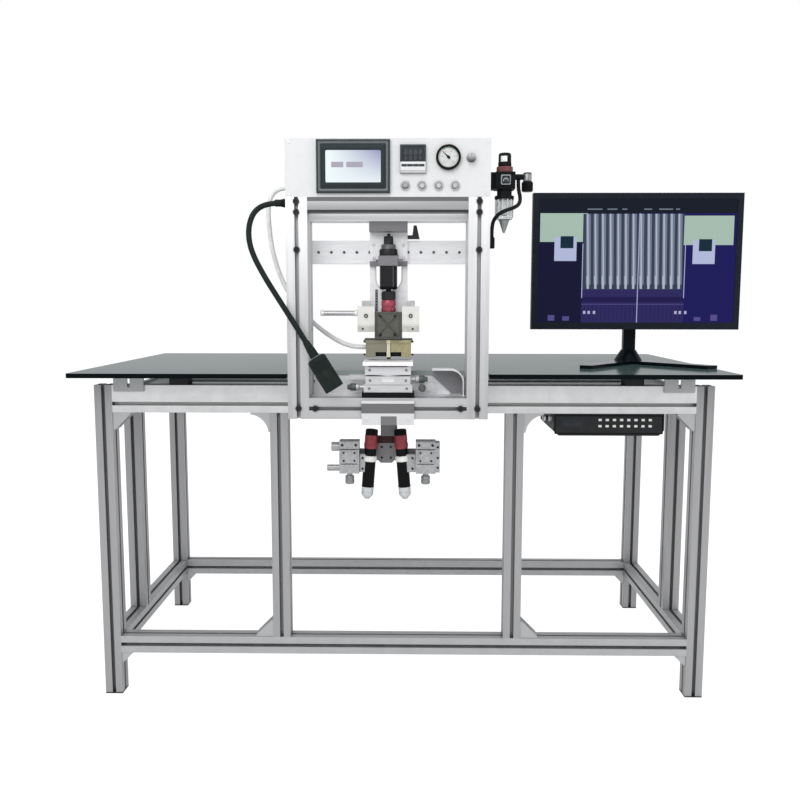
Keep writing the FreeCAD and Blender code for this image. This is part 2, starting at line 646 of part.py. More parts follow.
def base_plate():
    """The plate bolted between the gantry and the frame, with its shelf behind the beam."""
    owner = body("base_plate_slab", ("gantry_x", "head_y", "beam_top_z"))
    back, face = "0 - head_y", "upright_back - head_y"
    shelf = sketch(owner)
    front = "heavy - gantry_front - head_y"
    polygon(shelf, [("0 - gantry_inside / 2", front), ("gantry_inside / 2", front),
                    ("gantry_inside / 2", back), ("0 - gantry_inside / 2", back)])
    pad(owner, shelf, "base_plate_thick", True)
    wall = sketch(owner, "XY", "top_rail_z - beam_top_z")
    half = "gantry_width / 2"
    polygon(wall, [("0 - " + half, face), (half, face), (half, back), ("0 - " + half, back)])
    pad(owner, wall, "upstand_top - top_rail_z")
    view_window(owner)

    # A bent sheet guard stands on the shelf at its right end.
    right = "gantry_width / 2 - heavy - guard_inset"
    guard = body("platform_guard", ("gantry_x", "guard_y", "beam_top_z"))
    bend = sketch(guard, "XZ")
    polygon(bend, [(right, "0"), (right, "guard_tall"), (right + " - guard_wide", "guard_tall"),
                   (right + " - guard_wide", "guard_tall - guard_wall"),
                   (right + " - guard_wall", "guard_tall - guard_wall"), (right + " - guard_wall", "0")])
    pad(guard, bend, "guard_deep")
    crosswise = along(V(0, 1, 0))
    for lift, radius in (("0", "guard_bend"), ("guard_wall", "guard_bend - guard_wall")):
        corner = (value("%s - %s" % (right, lift)), value("guard_tall - %s" % lift))
        round_edges(guard, radius, lambda edge: crosswise(edge) and math.dist(
            (edge.Vertexes[0].Point.x, edge.Vertexes[0].Point.z), corner) < 0.01)
    fuse("base_plate", [owner, guard])


def bolts():
    """Socket screw heads in the slots of the uprights and beams."""
    head = body("bolt_head_blank")
    made = sketch(head)
    circle(made, "0", "0", "bolt_head")
    pad(head, made, "bolt_tall")
    socket = sketch(head, "XY", "bolt_tall")
    sides = []
    for i in range(6):
        across = "bolt_head / 4 * %.6f" % math.cos(math.radians(60 * i))
        sides.append((across, "bolt_head / 4 * %.6f" % math.sin(math.radians(60 * i))))
    polygon(socket, sides)
    pocket(head, socket, "bolt_tall / 2")
    items = []
    slots = ("gantry_left + heavy / 2", "box_right - heavy / 2")
    levels = ("box_floor_z - bolt_drop", "box_floor_z - front_beam_tall", "bar_z + bar_tall / 2",
              "top_rail_z + heavy / 2")
    for x in slots:
        for z in levels:
            items.append(copy_of(head, "bolt", (x, "panel_face", z), TURNS["-Y"]))
    for x in ("gantry_left + heavy + bolt_head", "box_right - heavy - bolt_head"):
        items.append(copy_of(head, "bolt", (x, "panel_face", "top_rail_z + heavy / 2"), TURNS["-Y"]))
    group("frame_bolts", items)


def cross_bar():
    """The flat bar behind the uprights with its row of mounting holes."""
    owner = body("head_cross_bar", ("gantry_x", "upright_back", "bar_z"))
    made = sketch(owner, "XZ")
    rectangle(made, "0", "bar_tall / 2", "gantry_width", "bar_tall")
    pad(owner, made, "bar_thick", True)
    holes = sketch(owner, "XZ")
    circle(holes, "0 - hole_pitch * (hole_count - 1) / 2", "bar_tall / 2", "hole_bore")
    drilled = pocket(owner, holes)
    pattern = owner.newObject("PartDesign::LinearPattern", "hole_row")
    pattern.Originals = [drilled]
    pattern.Direction = (origin_part(owner, "X_Axis"), [""])
    pattern.setExpression("Length", bound("hole_pitch * (hole_count - 1)"))
    pattern.setExpression("Occurrences", bound("hole_count"))
    owner.Tip = pattern


# Control box and what its front panel carries
def control_box():
    shell_deep = "box_deep - panel_thick"
    owner = body("control_box", ("gantry_x", "panel_face + panel_thick", "box_floor_z"))
    made = sketch(owner)
    rectangle(made, "0", "(%s) / 2" % shell_deep, "gantry_width", shell_deep)
    pad(owner, made, "box_tall")
    inside = sketch(owner, "XZ")
    rectangle(inside, "0", "box_tall / 2", "gantry_width - 2 * box_wall", "box_tall - 2 * box_wall")
    pocket(owner, inside, "%s - box_wall" % shell_deep, False)

    panel = body("control_panel", ("gantry_x", "panel_face + panel_thick", "box_floor_z"))
    face = sketch(panel, "XZ")
    rectangle(face, "0", "box_tall / 2", "gantry_width", "box_tall")
    pad(panel, face, "panel_thick")
    holes = sketch(panel, "XZ")
    gap = "2 * cutout_gap"
    rectangle(holes, "hmi_x - gantry_x", "hmi_z", "screen_wide + 10 + %s" % gap,
              "screen_tall + 10 + %s" % gap)
    rectangle(holes, "meter_x - gantry_x", "meter_z", "meter_body + %s" % gap,
              "meter_body + %s" % gap)
    circle(holes, "gauge_x - gantry_x", "gauge_z", "gauge_body + %s" % gap)
    circle(holes, "knob_x - gantry_x", "gauge_z", "knob_bore + %s" % gap)
    for i in range(4):
        circle(holes, "button_x + %d * button_pitch - gantry_x" % i, "button_z",
               "bezel_bore + 2 + %s" % gap)
    pocket(panel, holes)


def framed_unit(name, x, z, wide, tall, proud, back_wide, back_tall, back_deep):
    """A panel unit: a bezel in front of the panel and its body through the cut-out."""
    owner = body(name, (x, "panel_face", "box_floor_z + " + z))
    front = sketch(owner, "XZ")
    rectangle(front, "0", "0", wide, tall)
    pad(owner, front, proud)
    rear = sketch(owner, "XZ")
    rectangle(rear, "0", "0", back_wide, back_tall)
    pad(owner, rear, back_deep, True)
    return owner


def panel_units():
    hmi = framed_unit("hmi_bezel", "hmi_x", "hmi_z", "hmi_wide", "hmi_tall", "hmi_proud",
                      "screen_wide + 10", "screen_tall + 10", "hmi_body_deep")
    recess = sketch(hmi, "XZ", "hmi_proud")
    rectangle(recess, "0", "0", "screen_wide", "screen_tall")
    pocket(hmi, recess, "screen_sink")
    meter = framed_unit("temp_controller", "meter_x", "meter_z", "meter_wide", "meter_tall",
                        "meter_proud", "meter_body", "meter_body", "meter_body_deep")
    window = sketch(meter, "XZ", "meter_proud")
    rectangle(window, "0", "meter_tall / 8", "meter_wide - 8", "meter_tall * 0.6")
    pocket(meter, window, "1")

    level = "box_floor_z + gauge_z"
    turned("gauge_case", [("0", "0 - gauge_body_deep"), ("gauge_body", "0 - gauge_body_deep"),
                          ("gauge_body", "0"), ("gauge_ring", "0"),
                          ("gauge_ring", "gauge_proud - 1.5"), ("gauge_ring - 3", "gauge_proud"),
                          ("gauge_dial", "gauge_proud"), ("gauge_dial", "gauge_proud - dial_sink"),
                          ("0", "gauge_proud - dial_sink")],
           ("gauge_x", "panel_face", level), "-Y")
    needle = body("gauge_needle", ("gauge_x", "panel_face - gauge_proud + dial_sink - running_gap",
                                   level), TURNS["-Y"] * FreeCAD.Rotation(V(0, 0, 1), value("needle_rest")))
    blade = sketch(needle)
    polygon(blade, [("0 - needle_wide", "0 - needle_length / 4"), ("needle_wide", "0 - needle_length / 4"),
                    ("0.3", "needle_length"), ("-0.3", "needle_length")])
    pad(needle, blade, "needle_thick")
    hub = sketch(needle)
    circle(hub, "0", "0", "3 * needle_wide")
    pad(needle, hub, "needle_thick + needle_lift")

    turned("selector_knob", [("0", "0 - panel_thick"), ("knob_bore - 2", "0 - panel_thick"),
                             ("knob_bore - 2", "running_gap"), ("knob_wide", "running_gap"),
                             ("knob_wide", "knob_tall - 2"), ("knob_wide - 3", "knob_tall"),
                             ("0", "knob_tall")],
           ("knob_x", "panel_face", level), "-Y")
    row = "box_floor_z + button_z"
    bezels = []
    for i in range(4):
        spot = ("button_x + %d * button_pitch" % i, "panel_face", row)
        bezels.append(turned("bezel_ring", [("bezel_bore", "0 - panel_thick - button_stem"),
                                            ("bezel_bore + 2", "0 - panel_thick - button_stem"),
                                            ("bezel_bore + 2", "0"), ("bezel_wide", "0"),
                                            ("bezel_wide", "bezel_proud - 1"),
                                            ("bezel_wide - 2", "bezel_proud"),
                                            ("bezel_bore", "bezel_proud")], spot, "-Y"))
        turned("push_button_%d" % (i + 1),
               [("0", "0 - button_stem"), ("button_wide", "0 - button_stem"),
                ("button_wide", "button_proud - 0.8"), ("button_wide - 1.6", "button_proud"),
                ("0", "button_proud")], spot, "-Y")
    group("button_bezels", bezels)


# Air unit: body, bowl, knob and shut-off valve on the box's right side
def air_unit():
    half = "air_body_wide / 2"
    core = box("air_core", ("air_x - " + half, "air_y - " + half, "air_body_z"),
               ("air_body_wide", "air_body_wide", "air_body_tall"))
    neck = cylinder("air_neck", ("air_x", "air_y", "air_body_z - air_neck_tall"), "air_neck_wide",
                    "air_neck_tall")
    ring = cylinder("air_ring", ("air_x", "air_y", "air_top_z"), "air_ring_wide", "air_ring_tall")
    bracket = box("air_bracket", ("box_right", "air_y - heavy / 4", "air_body_z"),
                  ("air_x - %s - box_right" % half, "heavy / 2", "air_body_tall"))
    face = box("air_gauge_face", ("air_x - air_gauge_wide / 2", "air_y - %s - air_gauge_proud" % half,
                                  "air_body_z + (air_body_tall - air_gauge_wide) / 2"),
               ("air_gauge_wide", "air_gauge_proud", "air_gauge_wide"))
    port = cylinder("valve_port", ("air_x + " + half, "air_y", "air_top_z - valve_tall / 2"),
                    "valve_wide - 5", "valve_x - air_x - %s" % half, "+X")
    valve = cylinder("valve_stem", ("valve_x", "air_y", "air_top_z - valve_tall"), "valve_wide",
                     "valve_tall")
    whole = fuse("air_unit_solid", [core, neck, ring, bracket, face, port, valve])
    inlet = cylinder("air_inlet", ("air_x", "air_y + " + half, "air_body_z + air_body_tall / 2"),
                     "inlet_bore", "inlet_deep", "-Y")
    cut("air_unit_body", whole, [inlet])
    top = "air_body_z - air_neck_tall"
    inner = "bowl_wide - 2 * bowl_wall"
    turned("air_unit_bowl", [("0", "0 - bowl_tall - drain_tall"), ("4", "0 - bowl_tall - drain_tall"),
                             ("drain_wide", "0 - bowl_tall - 2"), ("bowl_wide - 4", "0 - bowl_tall"),
                             ("bowl_wide", "4 - bowl_tall"), ("bowl_wide", "0"), (inner, "0"),
                             (inner, "bowl_wall - bowl_tall"), ("0", "bowl_wall - bowl_tall")],
           ("air_x", "air_y", top))
    turned("air_unit_knob", [("0", "running_gap"), ("air_knob_wide - 4", "running_gap"),
                             ("air_knob_wide", "3"), ("air_knob_wide", "air_knob_tall - 3"),
                             ("air_knob_wide - 4", "air_knob_tall"), ("0", "air_knob_tall")],
           ("air_x", "air_y", "air_top_z + air_ring_tall"))
    turned("valve_grip", [("0", "0 - running_gap"), ("valve_grip_wide - 6", "0 - running_gap"),
                          ("valve_grip_wide", "-4"), ("valve_grip_wide", "2 - valve_grip_tall"),
                          ("valve_grip_wide - 4", "0 - valve_grip_tall"), ("0", "0 - valve_grip_tall")],
           ("valve_x", "air_y", "air_top_z - valve_tall"))


# Press head: what stands still on the gantry
def head_mount():
    owner = body("head_back_plate", ("gantry_x", "upright_back", "back_plate_z"))
    made = sketch(owner, "XZ")
    rectangle(made, "0", "(rear_beam_z - top_block_tall - back_plate_z) / 2", "back_plate_wide",
              "rear_beam_z - top_block_tall - back_plate_z")
    pad(owner, made, "back_plate_thick")
    opening = sketch(owner, "XZ")
    low = "window_low + window_wide / 2 - back_plate_z"
    high = "window_high - back_plate_z"
    polygon(opening, [("0 - window_wide / 2", low), ("window_wide / 2", low),
                      ("window_wide / 2", high), ("0 - window_wide / 2", high)])
    pocket(owner, opening)
    curve = sketch(owner, "XZ")
    circle(curve, "0", low, "window_wide")
    pocket(owner, curve)
    guide = sketch(owner, "XZ", "back_plate_thick")
    polygon(guide, [("0 - rail_wide / 2", "0"), ("rail_wide / 2", "0"),
                    ("rail_wide / 2", "window_low - 4 - back_plate_z"),
                    ("0 - rail_wide / 2", "window_low - 4 - back_plate_z")])
    pad(owner, guide, "rail_thick")

    block = box("top_block_bar", ("gantry_x - back_plate_wide / 2", "upright_back - heavy",
                                  "rear_beam_z - top_block_tall"),
                ("back_plate_wide", "heavy", "top_block_tall"))
    # A three-cornered stay on the back plate's right edge, its point upward
    stay = body("top_stay", ("gantry_x + back_plate_wide / 2", "plate_front + back_plate_thick", "stay_z"))
    made = sketch(stay, "XZ")
    polygon(made, [("0", "0"), ("stay_wide", "0"), ("stay_wide * 0.75", "stay_tall"),
                   ("stay_wide / 2", "stay_tall"), ("stay_wide * 0.4", "stay_foot"), ("0", "stay_foot")])
    pad(stay, made, "back_plate_thick + 2")
    group("head_top_block", [block, stay])

    shell = body("air_cylinder", ("gantry_x", "cylinder_y", "cylinder_low"))
    made = sketch(shell)
    circle(made, "0", "0", "cylinder_wide")
    pad(shell, made, "cylinder_high - cylinder_low")
    cap = sketch(shell, "XY", "cylinder_high - cylinder_low")
    rectangle(cap, "0", "0", "collar_wide", "collar_wide")
    pad(shell, cap, "collar_high - cylinder_high")
    ears = sketch(shell, "XY", "cylinder_high - cylinder_low")
    rectangle(ears, "0", "plate_front - cylinder_y - back_plate_thick / 2", "ear_wide",
              "back_plate_thick")
    pad(shell, ears, "ear_tall")
    bore = sketch(shell)
    circle(bore, "0", "0", "cylinder_wide - 2 * barrel_wall")
    pocket(shell, bore, "collar_high - cylinder_low - barrel_wall", True)
    port = sketch(shell, "YZ", "collar_wide / 2")
    circle(port, "0 - collar_wide / 4", "(cylinder_high + collar_high) / 2 - cylinder_low", "port_wide")
    pad(shell, port, "port_long")

    turned("stroke_knob", [("0", "running_gap"), ("knob_low", "running_gap"), ("knob_low", "14"),
                           ("knob_mid", "16"), ("knob_mid", "24"), ("knob_top", "26"),
                           ("knob_top", "stroke_knob_tall - 2"), ("knob_top - 4", "stroke_knob_tall"),
                           ("0", "stroke_knob_tall")],
           ("gantry_x", "cylinder_y", "collar_high"))


# Press head: what the cylinder drives up and down
def head_slide():
    owner = body("head_carriage", ("gantry_x", "carriage_front", "head_foot_z"))
    made = sketch(owner)
    rectangle(made, "0", "carriage_deep / 2", "carriage_wide", "carriage_deep")
    pad(owner, made, "carriage_tall")
    upright = along(V(0, 0, 1))
    round_edges(owner, "carriage_bevel",
                lambda edge: upright(edge) and edge.Vertexes[0].Point.y < 0.01, True)
    # The carriage's back wraps the guide rail.
    wrap = sketch(owner)
    inner = "rail_wide / 2 + running_gap"
    outer = "carriage_wide / 2 - 6"
    for sign in ("", "0 - "):
        polygon(wrap, [("%s(%s)" % (sign, inner), "carriage_deep"),
                       ("%s(%s)" % (sign, outer), "carriage_deep"),
                       ("%s(%s)" % (sign, outer), "carriage_deep + rail_thick"),
                       ("%s(%s)" % (sign, inner), "carriage_deep + rail_thick")])
    pad(owner, wrap, "carriage_tall")

    stem_y = "cylinder_y"
    top = "carriage_top_z + adjuster_tall"
    turned("pressure_adjuster", [("0", "0"), ("adjuster_wide", "0"),
                                 ("adjuster_wide", "adjuster_tall - 3"),
                                 ("adjuster_wide - 5", "adjuster_tall"), ("0", "adjuster_tall")],
           ("gantry_x", stem_y, "carriage_top_z"))
    piston = "cylinder_wide - 2 * barrel_wall - 2 * running_gap"
    turned("cylinder_rod", [("0", "0"), ("rod_block_wide", "0"), ("rod_block_wide", "rod_block_tall - 2"),
                            ("rod_block_wide - 4", "rod_block_tall"), ("rod_wide", "rod_block_tall"),
                            ("rod_wide", "rod_tall - piston_tall"), (piston, "rod_tall - piston_tall"),
                            (piston, "rod_tall"), ("0", "rod_tall")],
           ("gantry_x", stem_y, top))

    plates = []
    for side, sign in (("left", "-1"), ("right", "1")):
        wing = body("wing_" + side, ("gantry_x", "carriage_front + carriage_deep / 2", "wing_z"))
        made = sketch(wing, "XZ")
        near = "%s * carriage_wide / 2" % sign
        far = "%s * (carriage_wide / 2 + wing_wide)" % sign
        polygon(made, [(near, "0"), (far, "0"), (far, "wing_tall - boss_tall"),
                       (near, "wing_tall - boss_tall")])
        pad(wing, made, "wing_thick")
        boss = sketch(wing, "XZ")
        rectangle(boss, "%s * (carriage_wide / 2 + wing_wide / 2)" % sign,
                  "wing_tall - boss_tall / 2", "2 * boss_wide", "boss_tall")
        pad(wing, boss, "wing_thick")
        screw = sketch(wing, "XZ", "wing_thick")
        circle(screw, "%s * (carriage_wide / 2 + wing_wide / 2)" % sign, "wing_tall / 2", "bolt_head / 2")
        pad(wing, screw, "bolt_tall / 2")
        plates.append(wing)
    group("head_wings", plates)
    roller_y = "carriage_front + carriage_deep / 2 - wing_thick / 2"
    turned("tape_roller", [("0", "running_gap"), ("roller_wide", "running_gap"),
                           ("roller_wide", "roller_long - 2"), ("roller_wide - 3", "roller_long"),
                           ("0", "roller_long")],
           ("gantry_x - carriage_wide / 2 - wing_wide", roller_y, "roller_z"), "-X")

    block = body("thermode_block", ("gantry_x", "head_y", "head_foot_z - block_tall"))
    made = sketch(block)
    rectangle(made, "0", "0", "block_wide - 6", "block_deep")
    pad(block, made, "block_tall")
    cap = sketch(block, "XY", "block_tall - block_cap")
    rectangle(cap, "0", "0", "block_wide", "block_deep + 4")
    pad(block, cap, "block_cap")
    slots = sketch(block, "XZ", "block_deep / 2")
    for sign in ("-1", "1"):
        rectangle(slots, "%s * (tip_wide / 2 + block_gap / 2)" % sign, "block_gap_tall / 2",
                  "block_gap", "block_gap_tall")
    pocket(block, slots, "block_deep * 2 / 3")
    # Each half of the block stops short of the strip that carries the tip.
    split = sketch(block, "XZ", "block_deep / 2")
    rectangle(split, "0", "(block_tall - block_cap) / 2", "tip_wide + 2", "block_tall - block_cap")
    pocket(block, split, "block_deep / 4")
    strip = sketch(block, "XZ", "block_deep / 2 - 1")
    rectangle(strip, "0", "(block_tall - block_cap) / 2", "tip_wide", "block_tall - block_cap")
    pad(block, strip, "block_deep / 2 - 1", True)
    blade = body("thermode_blade", ("gantry_x", "head_y", "tip_z"))
    made = sketch(blade)
    rectangle(made, "0", "0", "tip_wide", "block_deep / 2")
    pad(blade, made, "head_foot_z - block_tall - tip_z")
    fuse("thermode", [block, blade])


# Platform that holds the work: plinth, two slides and a turning plate
def platform():
    def plate(name, at, wide, deep, tall):
        owner = body(name, at)
        made = sketch(owner)
        rectangle(made, "0", "platform_y - head_y", wide, deep)
        pad(owner, made, tall)
        return owner

    centre = ("gantry_x", "head_y")
    plinth = plate("platform_plinth", centre + ("beam_top_z",), "platform_wide", "platform_deep",
                   "plinth_tall")
    view_window(plinth)

    x_stage = plate("platform_x_slide", centre + ("x_stage_z",), "platform_wide - 2 * stage_step",
                    "platform_deep - stage_step", "stage_tall")
    arm = sketch(x_stage)
    rectangle(arm, "y_thimble_x - gantry_x - thimble_wide / 4", "platform_y - head_y + arm_back",
              "2 * (y_thimble_x - gantry_x) - platform_wide + 2 * stage_step + thimble_wide * 1.5",
              "arm_thick")
    pad(x_stage, arm, "stage_tall")
    view_window(x_stage)

    y_stage = plate("platform_y_slide", centre + ("y_stage_z",), "platform_wide - 4 * stage_step",
                    "platform_deep - stage_step", "stage_tall")
    wing = sketch(y_stage, "XY", "stage_tall / 2")
    rectangle(wing, "0 - platform_wide / 2 - wing_arm / 4", "platform_y - head_y",
              "wing_arm + 2 * stage_step", "wing_arm_wide")
    pad(y_stage, wing, "stage_tall / 2")
    view_window(y_stage)

    work = body("work_plate", ("gantry_x", "platform_y", "drum_z"))
    made = sketch(work)
    circle(made, "0", "0", "drum_wide")
    pad(work, made, "drum_tall")
    block = sketch(work, "XY", "drum_tall")
    rectangle(block, "0", "0", "turn_block_wide", "turn_block_deep")
    pad(work, block, "work_z - work_thick - drum_z - drum_tall")
    top = sketch(work, "XY", "work_z - work_thick - drum_z")
    rectangle(top, "0", "0", "work_wide", "work_deep")
    pad(work, top, "work_thick")
    straight = "view_length - view_width"
    slot = sketch(work)
    rectangle(slot, "0", "head_y - platform_y", straight, "view_width")
    pocket(work, slot)
    for sign in ("-1", "1"):
        end = sketch(work)
        circle(end, "%s * (%s) / 2" % (sign, straight), "head_y - platform_y", "view_width")
        pocket(work, end)

    def thimble(name, at, axis):
        """A graduated barrel, a wider knurled thimble and its end cap."""
        turned(name, [("0", "running_gap"), ("barrel_wide", "running_gap"),
                      ("barrel_wide", "barrel_long"), ("thimble_wide", "barrel_long + 3"),
                      ("thimble_wide", "thimble_long"), ("thimble_wide - 5", "thimble_long + 2"),
                      ("thimble_wide - 5", "thimble_long + 7"), ("0", "thimble_long + 7")], at, axis)

    left = "gantry_x - platform_wide / 2 + stage_step"
    thimble("x_thimble", (left, "x_thimble_y", "x_stage_z + stage_tall / 2"), "-X")
    thimble("y_thimble", ("y_thimble_x", "platform_y + arm_back - arm_thick / 2",
                          "x_stage_z + stage_tall / 2"), "-Y")
    thimble("theta_thimble", ("gantry_x + platform_wide / 2 - 2 * stage_step", "x_thimble_y",
                              "y_stage_z + stage_tall / 2"), "+X")


# Cameras: the hanger, two cross slides and two focus slides
def camera_hanger():
    owner = body("camera_hanger", ("gantry_x", "panel_face", "top_rail_z"))
    back = "cross_front - panel_face + hanger_foot"
    made = sketch(owner, "YZ", "0 - hanger_bar / 2")
    polygon(made, [("0 - hanger_thick", "0 - hanger_foot"), (back, "0 - hanger_foot"),
                   (back, "0"), ("0 - hanger_thick", "0")])
    pad(owner, made, "hanger_bar")
    plate = sketch(owner, "XZ")
    rectangle(plate, "0", "hanger_tall / 2 - hanger_foot / 2", "hanger_wide",
              "hanger_tall + hanger_foot")
    pad(owner, plate, "hanger_thick")
    low = "cross_z - top_rail_z"
    drop = sketch(owner, "XZ", "panel_face - cross_front")
    rectangle(drop, "0", "(%s - hanger_foot) / 2" % low, "hanger_bar", "0 - hanger_foot - (%s)" % low)
    pad(owner, drop, "hanger_foot", True)
    carrier = sketch(owner, "XZ", "panel_face - cross_front")
    middle, half = "(camera_left + camera_right) / 2", "carrier_wide / 2"
    polygon(carrier, [("%s - %s" % (middle, half), "%s + carrier_tall" % low),
                      ("%s - %s" % (middle, half), low + " + 2"), ("%s - %s + 8" % (middle, half), low + " - 6"),
                      ("%s + %s - 8" % (middle, half), low + " - 6"), ("%s + %s" % (middle, half), low + " + 2"),
                      ("%s + %s" % (middle, half), "%s + carrier_tall" % low)])
    pad(owner, carrier, "hanger_foot", True)
    rail = sketch(owner, "XZ", "panel_face - cross_front")
    polygon(rail, [("0 - cross_left", low), ("cross_right", low),
                   ("cross_right", "%s + cross_tall" % low), ("0 - cross_left", "%s + cross_tall" % low)])
    pad(owner, rail, "hanger_foot", True)


def camera_side(side, slide_x, camera_x, sign):
    """One camera with its cross slide, its focus thimble and its side knobs."""
    slide = body(side + "_camera_slide", (slide_x, "slide_front", "slide_z"))
    made = sketch(slide)
    rectangle(made, "0", "slide_deep / 2", "slide_wide", "slide_deep")
    pad(slide, made, "slide_tall")
    if side == "left":
        for level, wide, long in (("slide_tall - 14", "side_knob_wide", "side_knob_long"),
                                  ("10", "side_knob_wide * 0.7", "side_knob_long + 10")):
            knob = sketch(slide, "YZ", "0 - slide_wide / 2")
            circle(knob, "slide_deep / 2", level, wide)
            pad(slide, knob, long, True)
    else:
        cheek = sketch(slide, "YZ", "slide_wide / 2")
        rectangle(cheek, "slide_deep / 2", "slide_tall / 2", "slide_deep", "slide_tall - 6")
        pad(slide, cheek, "cheek_wide")
    turned(side + "_focus_thimble",
           [("0", "running_gap"), ("focus_wide - 8", "running_gap"), ("focus_wide - 8", "6"),
            ("focus_wide", "8"), ("focus_wide", "focus_long - 2"),
            ("focus_wide - 4", "focus_long"), ("0", "focus_long")],
           (slide_x, "slide_front + slide_deep / 2", "slide_z"), "-Z")

    lean = FreeCAD.Rotation(V(0, 1, 0), -float(sign) * value("camera_tilt"))
    wide = "camera_wide"
    total = "camera_long"
    barrel = turned(side + "_barrel",
                    [("0", "0"), (wide + " - 8", "0"), (wide, "4"), (wide, "tail_tall"),
                     (wide + " - 1", "tail_tall"), (wide + " - 1", total + " - cap_tall - 6 - collar_tall - ring_tall"),
                     (wide + " + 3", total + " - cap_tall - 6 - collar_tall - ring_tall"),
                     (wide + " + 3", total + " - cap_tall - 6 - collar_tall"),
                     (wide + " - 2", total + " - cap_tall - 6 - collar_tall"),
                     (wide + " - 2", total + " - cap_tall - collar_tall"),
                     (wide, total + " - cap_tall - collar_tall"), (wide, total + " - cap_tall"),
                     (wide + " + 1", total + " - cap_tall"), (wide + " + 1", total + " - 1.5"),
                     (wide + " - 1", total), (wide + " - 8", total), (wide + " - 8", total + " - 3"),
                     ("0", total + " - 3")],
                    (camera_x, "slide_front + slide_deep / 2", "camera_top_z - camera_long"),
                    turn=lean)
    inner = "%s - (%s) * (slide_wide / 2 + running_gap)" % (slide_x, sign)
    reach = "abs(%s - (%s))" % (inner, camera_x)
    start = inner if sign == "-1" else "%s - %s" % (inner, reach)
    saddle = box(side + "_saddle", (start, "slide_front + slide_deep / 2 - focus_wide / 2",
                                    "camera_top_z - camera_long + 62"),
                 (reach, "focus_wide", "saddle_tall"))
    fuse(side + "_camera", [barrel, saddle])


# Screen: the housing on its tilting neck, and the stand with two splayed legs
def monitor():
    middle = "panel_tall / 2"
    panel = body("monitor_panel", ("screen_x", "screen_y", "panel_z"))
    made = sketch(panel, "XZ")
    rectangle(made, "0", middle, "panel_wide", "panel_tall")
    pad(panel, made, "panel_deep - panel_rear_step", True)
    bulge = sketch(panel, "XZ", "panel_rear_step - panel_deep")
    rectangle(bulge, "0", middle, "panel_wide * 0.62", "panel_tall * 0.55")
    pad(panel, bulge, "panel_rear_step", True)
    recess = sketch(panel, "XZ")
    polygon(recess, [("0 - picture_wide / 2", "panel_chin"), ("picture_wide / 2", "panel_chin"),
                     ("picture_wide / 2", "panel_tall - panel_lip"),
                     ("0 - picture_wide / 2", "panel_tall - panel_lip")])
    pocket(panel, recess, "picture_sink")
    ear = "neck_ear"
    lug = sketch(panel, "YZ", "%s - neck_wide / 2" % ear)
    rectangle(lug, "(tilt_y - screen_y + panel_deep + tilt_pin / 2) / 2", "tilt_z - panel_z",
              "tilt_y - screen_y + tilt_pin / 2 - panel_deep", "tilt_pin - 1")
    pad(panel, lug, "neck_wide - 2 * %s" % ear)
    holes = sketch(panel, "XZ", "0 - panel_deep")
    for x in ("0 - vesa / 2", "vesa / 2"):
        for z in ("tilt_z - panel_z - vesa / 2", "tilt_z - panel_z + vesa / 2"):
            circle(holes, x, z, "vesa_bore")
    pocket(panel, holes, "vesa_deep", True)
    pin = sketch(panel, "YZ", "0 - neck_wide / 2")
    circle(pin, "tilt_y - screen_y", "tilt_z - panel_z", "tilt_pin / 2")
    pad(panel, pin, "neck_wide")

    neck = body("stand_neck", ("screen_x", "tilt_y", "glass_top_z"))
    made = sketch(neck, "XZ", "0 - neck_thick - tilt_pin / 2 - 1")
    low, top = "stand_rise / 2", "tilt_z - glass_top_z + tilt_pin"
    polygon(made, [("0 - neck_wide / 2", low), ("neck_wide / 2", low), ("neck_wide / 2", top),
                   ("0 - neck_wide / 2", top)])
    pad(neck, made, "neck_thick")
    for start in ("0 - neck_wide / 2", "neck_wide / 2 - %s + neck_gap" % ear):
        fork = sketch(neck, "YZ", start)
        rectangle(fork, "1.5", "tilt_z - glass_top_z", "tilt_pin + 1", "tilt_pin - 1")
        pad(neck, fork, "%s - neck_gap" % ear)
    bore = sketch(neck, "YZ")
    circle(bore, "0", "tilt_z - glass_top_z", "tilt_pin / 2 + 0.2")
    pocket(neck, bore)

    hub_y = "tilt_y + (neck_thick + tilt_pin) / 2 + 1"
    hub = doc.addObject("Part::Cone", "stand_hub_cone")
    hub.setExpression("Radius1", bound("stand_hub"))
    hub.setExpression("Radius2", bound("neck_wide / 2 + 3"))
    hub.setExpression("Height", bound("stand_rise"))
    place(hub, ("screen_x", hub_y, "glass_top_z"))
    legs = []
    for sign in (-1, 1):
        leg = body("stand_leg_%s" % ("left" if sign < 0 else "right"), ("screen_x", hub_y, "glass_top_z"))
        made = sketch(leg)
        end_x = "%d * stand_spread" % sign
        side_x = "%d * (stand_spread - stand_leg)" % sign
        root_x = "%d * stand_hub * 0.9" % sign
        polygon(made, [("%d * stand_leg / 4" % -sign, "0 - stand_hub * 0.9"),
                       (side_x, "0 - stand_reach"), (end_x, "0 - stand_reach + stand_leg / 2"),
                       (root_x, "0"), ("0", "stand_hub / 4")])
        pad(leg, made, "stand_thick")
        legs.append(leg)
    fuse("monitor_stand", [neck, hub] + legs)


